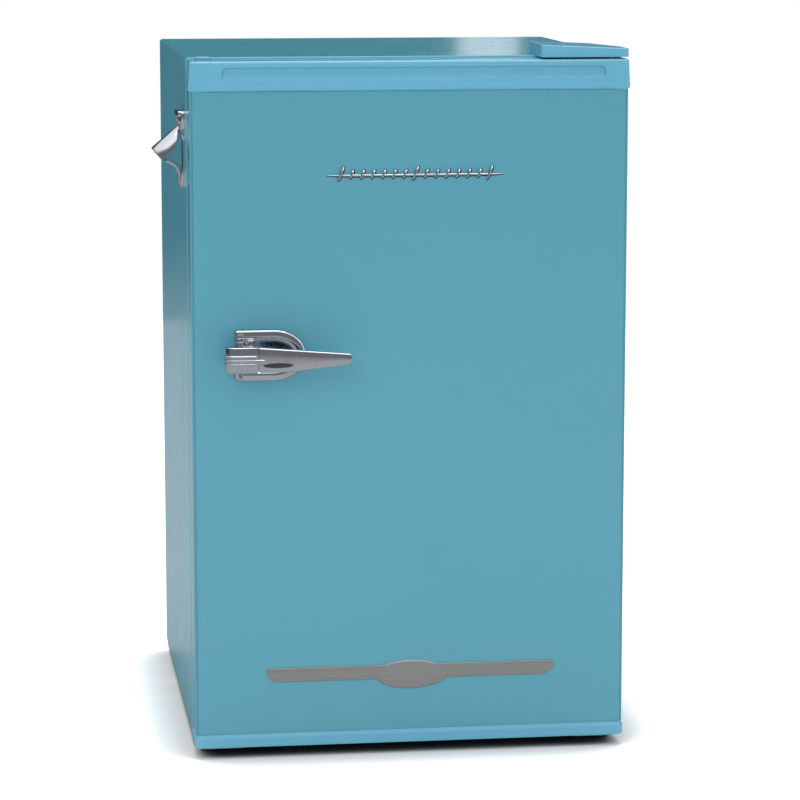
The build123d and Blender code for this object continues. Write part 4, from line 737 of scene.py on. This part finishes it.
def make_opener_lip():
    """Lip of the opener, curling out from the plate's tail to under the hood."""
    root = opener_bottom + 14 * MM
    # The lip's run, in mm out from the wall and up from its root.
    run = ((2.5, -10.0), (3.4, 0.0), (8, 10.5), (14.5, 15), (21, 18))
    path = curve([Vector((wall - out * MM, opener_y, root + rise * MM)) for out, rise in run], 8)
    section = []
    for cx, start in ((5.6, 0), (-5.6, 90), (-5.6, 180), (5.6, 270)):
        cy = 0.4 if start < 180 else -0.4
        section += [(x * MM, y * MM) for x, y in arc(cx, cy, 1.9, start, start + 90, 5)]
    bm = bmesh.new()
    sweep(bm, path, lambda t: Vector((t.z, 0, -t.x)) * -1, section, rounded_ends(len(path), 0.7, 0.08))
    new_piece("opener_lip", bm, "chrome", "cabinet", "bottle_opener", 50)


# ---------------------------------------------------------------- gasket
def rounded_frame(x0, x1, z0, z1, r, steps=8):
    """Outline of a rounded rectangle in the door's plane."""
    corners = ((x1 - r, z0 + r, 270), (x1 - r, z1 - r, 0), (x0 + r, z1 - r, 90), (x0 + r, z0 + r, 180))
    out = []
    for cx, cz, start in corners:
        out += arc(cx, cz, r, start, start + 90, steps)
    return out


def make_door_gasket():
    """Magnetic gasket: a foot, two folds of bellows, a soft fin and the rounded magnet pocket."""
    low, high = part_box("door_gasket")
    span = high.y - low.y
    width = 14 * MM
    corner_r = 7 * MM
    # Its section, as shares of the width and of the depth: outer folds, magnet pocket, inner folds.
    profile = [(0.02, 0.0), (0.0, 0.10), (0.12, 0.22), (0.30, 0.26), (0.20, 0.36), (0.34, 0.44), (0.22, 0.52)]
    profile += [(0.12, 0.60), (0.04, 0.68), (0.02, 0.84), (0.08, 0.96), (0.16, 1.0), (0.80, 1.0)]
    profile += [(0.90, 0.96), (0.96, 0.84), (0.94, 0.68), (0.84, 0.58), (0.74, 0.50), (0.64, 0.42)]
    profile += [(0.78, 0.34), (0.70, 0.26), (0.88, 0.22), (1.0, 0.10), (0.98, 0.0)]
    rings = []
    for across, deep in profile + profile[:1]:
        inset = across * width
        r = corner_r - inset * 0.3
        frame_line = rounded_frame(low.x + inset, high.x - inset, low.z + inset, high.z - inset, r)
        rings.append([(u, low.y + deep * span, v) for u, v in frame_line])
    bm = bmesh.new()
    loft(bm, rings, close=False)
    bmesh.ops.remove_doubles(bm, verts=bm.verts, dist=1e-6)
    new_piece("gasket_bellows", bm, "gasket_rubber", "door", "door_gasket", 50)


# ---------------------------------------------------------------- stage, light and camera
camera_lens = 141.9
camera_yaw = 7.69
camera_pitch = 8.99
camera_left = 0.4838  # from the door's middle
camera_back = 3.4895  # from the door's front
camera_up = 0.9547  # from the door's foot

floor_r = 3.6
contact_reach = 0.10  # how far the object's contact shadow goes
floor_dimmed = 0.68  # share of the floor's light that reflections miss

# The studio's strengths, behind the object, in diffuse light and in reflections.
seen_level = 1.0
diffuse_level = 0.62
back_level = 0.05
front_level = 0.20
overhead_level = 1.15
ground_level = 0.22
strip_level = 0.75


def make_camera():
    """A long lens, from the left of the cabinet and a little above it."""
    data = bpy.data.cameras.new("camera")
    data.sensor_width = 36.0
    data.lens = camera_lens
    camera = bpy.data.objects.new("camera", data)
    camera.location = (mid_x - camera_left, door_front - camera_back, door_bottom + camera_up)
    yaw, pitch = math.radians(camera_yaw), math.radians(camera_pitch)
    camera.rotation_euler = (math.pi / 2 - pitch, 0.0, -yaw)
    bpy.context.scene.collection.objects.link(camera)
    bpy.context.scene.camera = camera


def make_floor():
    """Round pale floor, glowing a little so that it meets the backdrop, with a painted contact shadow: near
    the object its glow fades and its colour darkens almost to black.
    """
    bm = bmesh.new()
    rim = [bm.verts.new((x, y, 0.0)) for x, y in arc(0.0, 0.0, floor_r, 0, 356.25, 95)]
    bm.faces.new(rim)
    mesh = bpy.data.meshes.new("floor")
    bm.to_mesh(mesh)
    bm.free()
    s = Shader("floor_paper", (0.86, 0.86, 0.86), 0.8)
    s.tint(s.remap(s.noise(2.0, 3), 0.0, 0.5), (0.85, 0.85, 0.85))
    # Painted contact shadow: ambient occlusion dims the floor's glow and darkens its colour almost to black
    # where the object stands close.
    contact = s.node("ShaderNodeAmbientOcclusion")
    contact.inputs["Distance"].default_value = contact_reach
    s.link(s.remap(contact.outputs["AO"], 0.0, 0.55, 0.55, 0.95), s.bsdf.inputs["Emission Strength"])
    s.set(Emission_Color=(1.0, 1.0, 1.0, 1.0))
    s.tint(s.remap(contact.outputs["AO"], 1.0, 0.0, 0.02, 0.42), (0.03, 0.03, 0.035))
    s.bump(s.noise(300.0, 3), 0.0001, 0.2)
    path = s.node("ShaderNodeLightPath")
    dim = s.node("ShaderNodeMath", operation="MULTIPLY")
    s.link(path.outputs["Is Glossy Ray"], dim.inputs[0])
    dim.inputs[1].default_value = floor_dimmed
    dark = s.node("ShaderNodeEmission")
    dark.inputs["Strength"].default_value = 0.0
    mix = s.node("ShaderNodeMixShader")
    s.link(dim.outputs[0], mix.inputs["Fac"])
    s.link(s.bsdf.outputs[0], mix.inputs[1])
    s.link(dark.outputs[0], mix.inputs[2])
    s.link(mix.outputs[0], s.tree.nodes["Material Output"].inputs["Surface"])
    mesh.materials.append(s.mat)
    floor = bpy.data.objects.new("floor", mesh)
    bpy.context.scene.collection.objects.link(floor)


def make_world():
    """White behind the object, even diffuse light, and a dim studio under a bright window in reflections."""
    world = bpy.data.worlds.new("studio")
    bpy.context.scene.world = world
    world.use_nodes = True
    tree = world.node_tree
    tree.nodes.clear()

    def math_node(operation, a, b):
        """Math node of two numbers or outputs."""
        made = tree.nodes.new("ShaderNodeMath")
        made.operation = operation
        for value, socket in ((a, made.inputs[0]), (b, made.inputs[1])):
            if isinstance(value, (int, float)):
                socket.default_value = value
            else:
                tree.links.new(value, socket)
        return made.outputs[0]

    def window(value, low, high, soft):
        """1 between low and high, with soft edges."""
        rise = tree.nodes.new("ShaderNodeMapRange")
        fall = tree.nodes.new("ShaderNodeMapRange")
        for node, *ends in ((rise, low - soft, low, 0, 1), (fall, high, high + soft, 1, 0)):
            node.interpolation_type = "SMOOTHSTEP"
            tree.links.new(value, node.inputs["Value"])
            set_range(node, *ends)
        return math_node("MULTIPLY", rise.outputs["Result"], fall.outputs["Result"])

    coords = tree.nodes.new("ShaderNodeTexCoord")
    axes = tree.nodes.new("ShaderNodeSeparateXYZ")
    tree.links.new(coords.outputs["Generated"], axes.inputs[0])
    height = axes.outputs["Z"]
    azimuth = math_node("ARCTAN2", axes.outputs["X"], axes.outputs["Y"])

    overhead = window(height, 0.62, 2.0, 0.25)
    ground = window(height, -2.0, -0.145, 0.045)
    strip = math_node("MULTIPLY", window(azimuth, 0.154, 0.170, 0.003), window(height, 0.020, 0.30, 0.01))
    front = tree.nodes.new("ShaderNodeMapRange")
    tree.links.new(axes.outputs["Y"], front.inputs["Value"])
    set_range(front, 0.0, -0.35, back_level, front_level)
    total = front.outputs["Result"]
    for area, level in ((overhead, overhead_level), (ground, ground_level), (strip, strip_level)):
        total = math_node("ADD", total, math_node("MULTIPLY", area, level))

    path = tree.nodes.new("ShaderNodeLightPath")
    mix = tree.nodes.new("ShaderNodeMix")
    mix.data_type = "FLOAT"
    tree.links.new(path.outputs["Is Glossy Ray"], mix.inputs["Factor"])
    mix.inputs["A"].default_value = diffuse_level
    tree.links.new(total, mix.inputs["B"])
    seen = tree.nodes.new("ShaderNodeMix")
    seen.data_type = "FLOAT"
    tree.links.new(path.outputs["Is Camera Ray"], seen.inputs["Factor"])
    tree.links.new(mix.outputs["Result"], seen.inputs["A"])
    seen.inputs["B"].default_value = seen_level
    back = tree.nodes.new("ShaderNodeBackground")
    back.inputs["Color"].default_value = (1.0, 1.0, 1.0, 1.0)
    tree.links.new(seen.outputs["Result"], back.inputs["Strength"])
    out = tree.nodes.new("ShaderNodeOutputWorld")
    tree.links.new(back.outputs["Background"], out.inputs["Surface"])


def area_light(name, place, target, size, power, in_reflections=True):
    """Soft rectangular white light at place, facing target."""
    data = bpy.data.lights.new(name, "AREA")
    data.shape = "RECTANGLE"
    data.size, data.size_y = size
    data.energy = power
    light = bpy.data.objects.new(name, data)
    light.location = place
    light.visible_glossy = in_reflections
    light.rotation_euler = (Vector(target) - Vector(place)).to_track_quat("-Z", "Y").to_euler()
    bpy.context.scene.collection.objects.link(light)


def make_lights():
    """A large soft light in front, weaker ones at the sides, and one overhead."""
    aim = (mid_x, 0.0, 0.45)
    area_light("front_light", (-1.6, -3.6, 2.3), aim, (2.2, 2.2), 50.0, False)
    area_light("right_light", (3.2, -1.6, 1.6), aim, (1.6, 2.2), 20.0)
    area_light("left_light", (-3.4, 0.2, 1.4), aim, (1.6, 2.0), 10.0, False)
    area_light("top_light", (0.0, 0.2, 3.4), (0.0, 0.1, 0.0), (2.6, 2.6), 60.0)


# ---------------------------------------------------------------- assembly
paint_frame()
make_handle_base()
make_handle_grip()
make_handle_ribs()
make_handle_medallion()
make_script_ornament()
make_wing_badge()
make_opener_plate()
make_opener_hood()
make_opener_lip()
make_door_gasket()
make_world()
make_lights()
make_floor()
make_camera()
scene = bpy.context.scene
scene.view_settings.view_transform = "Standard"
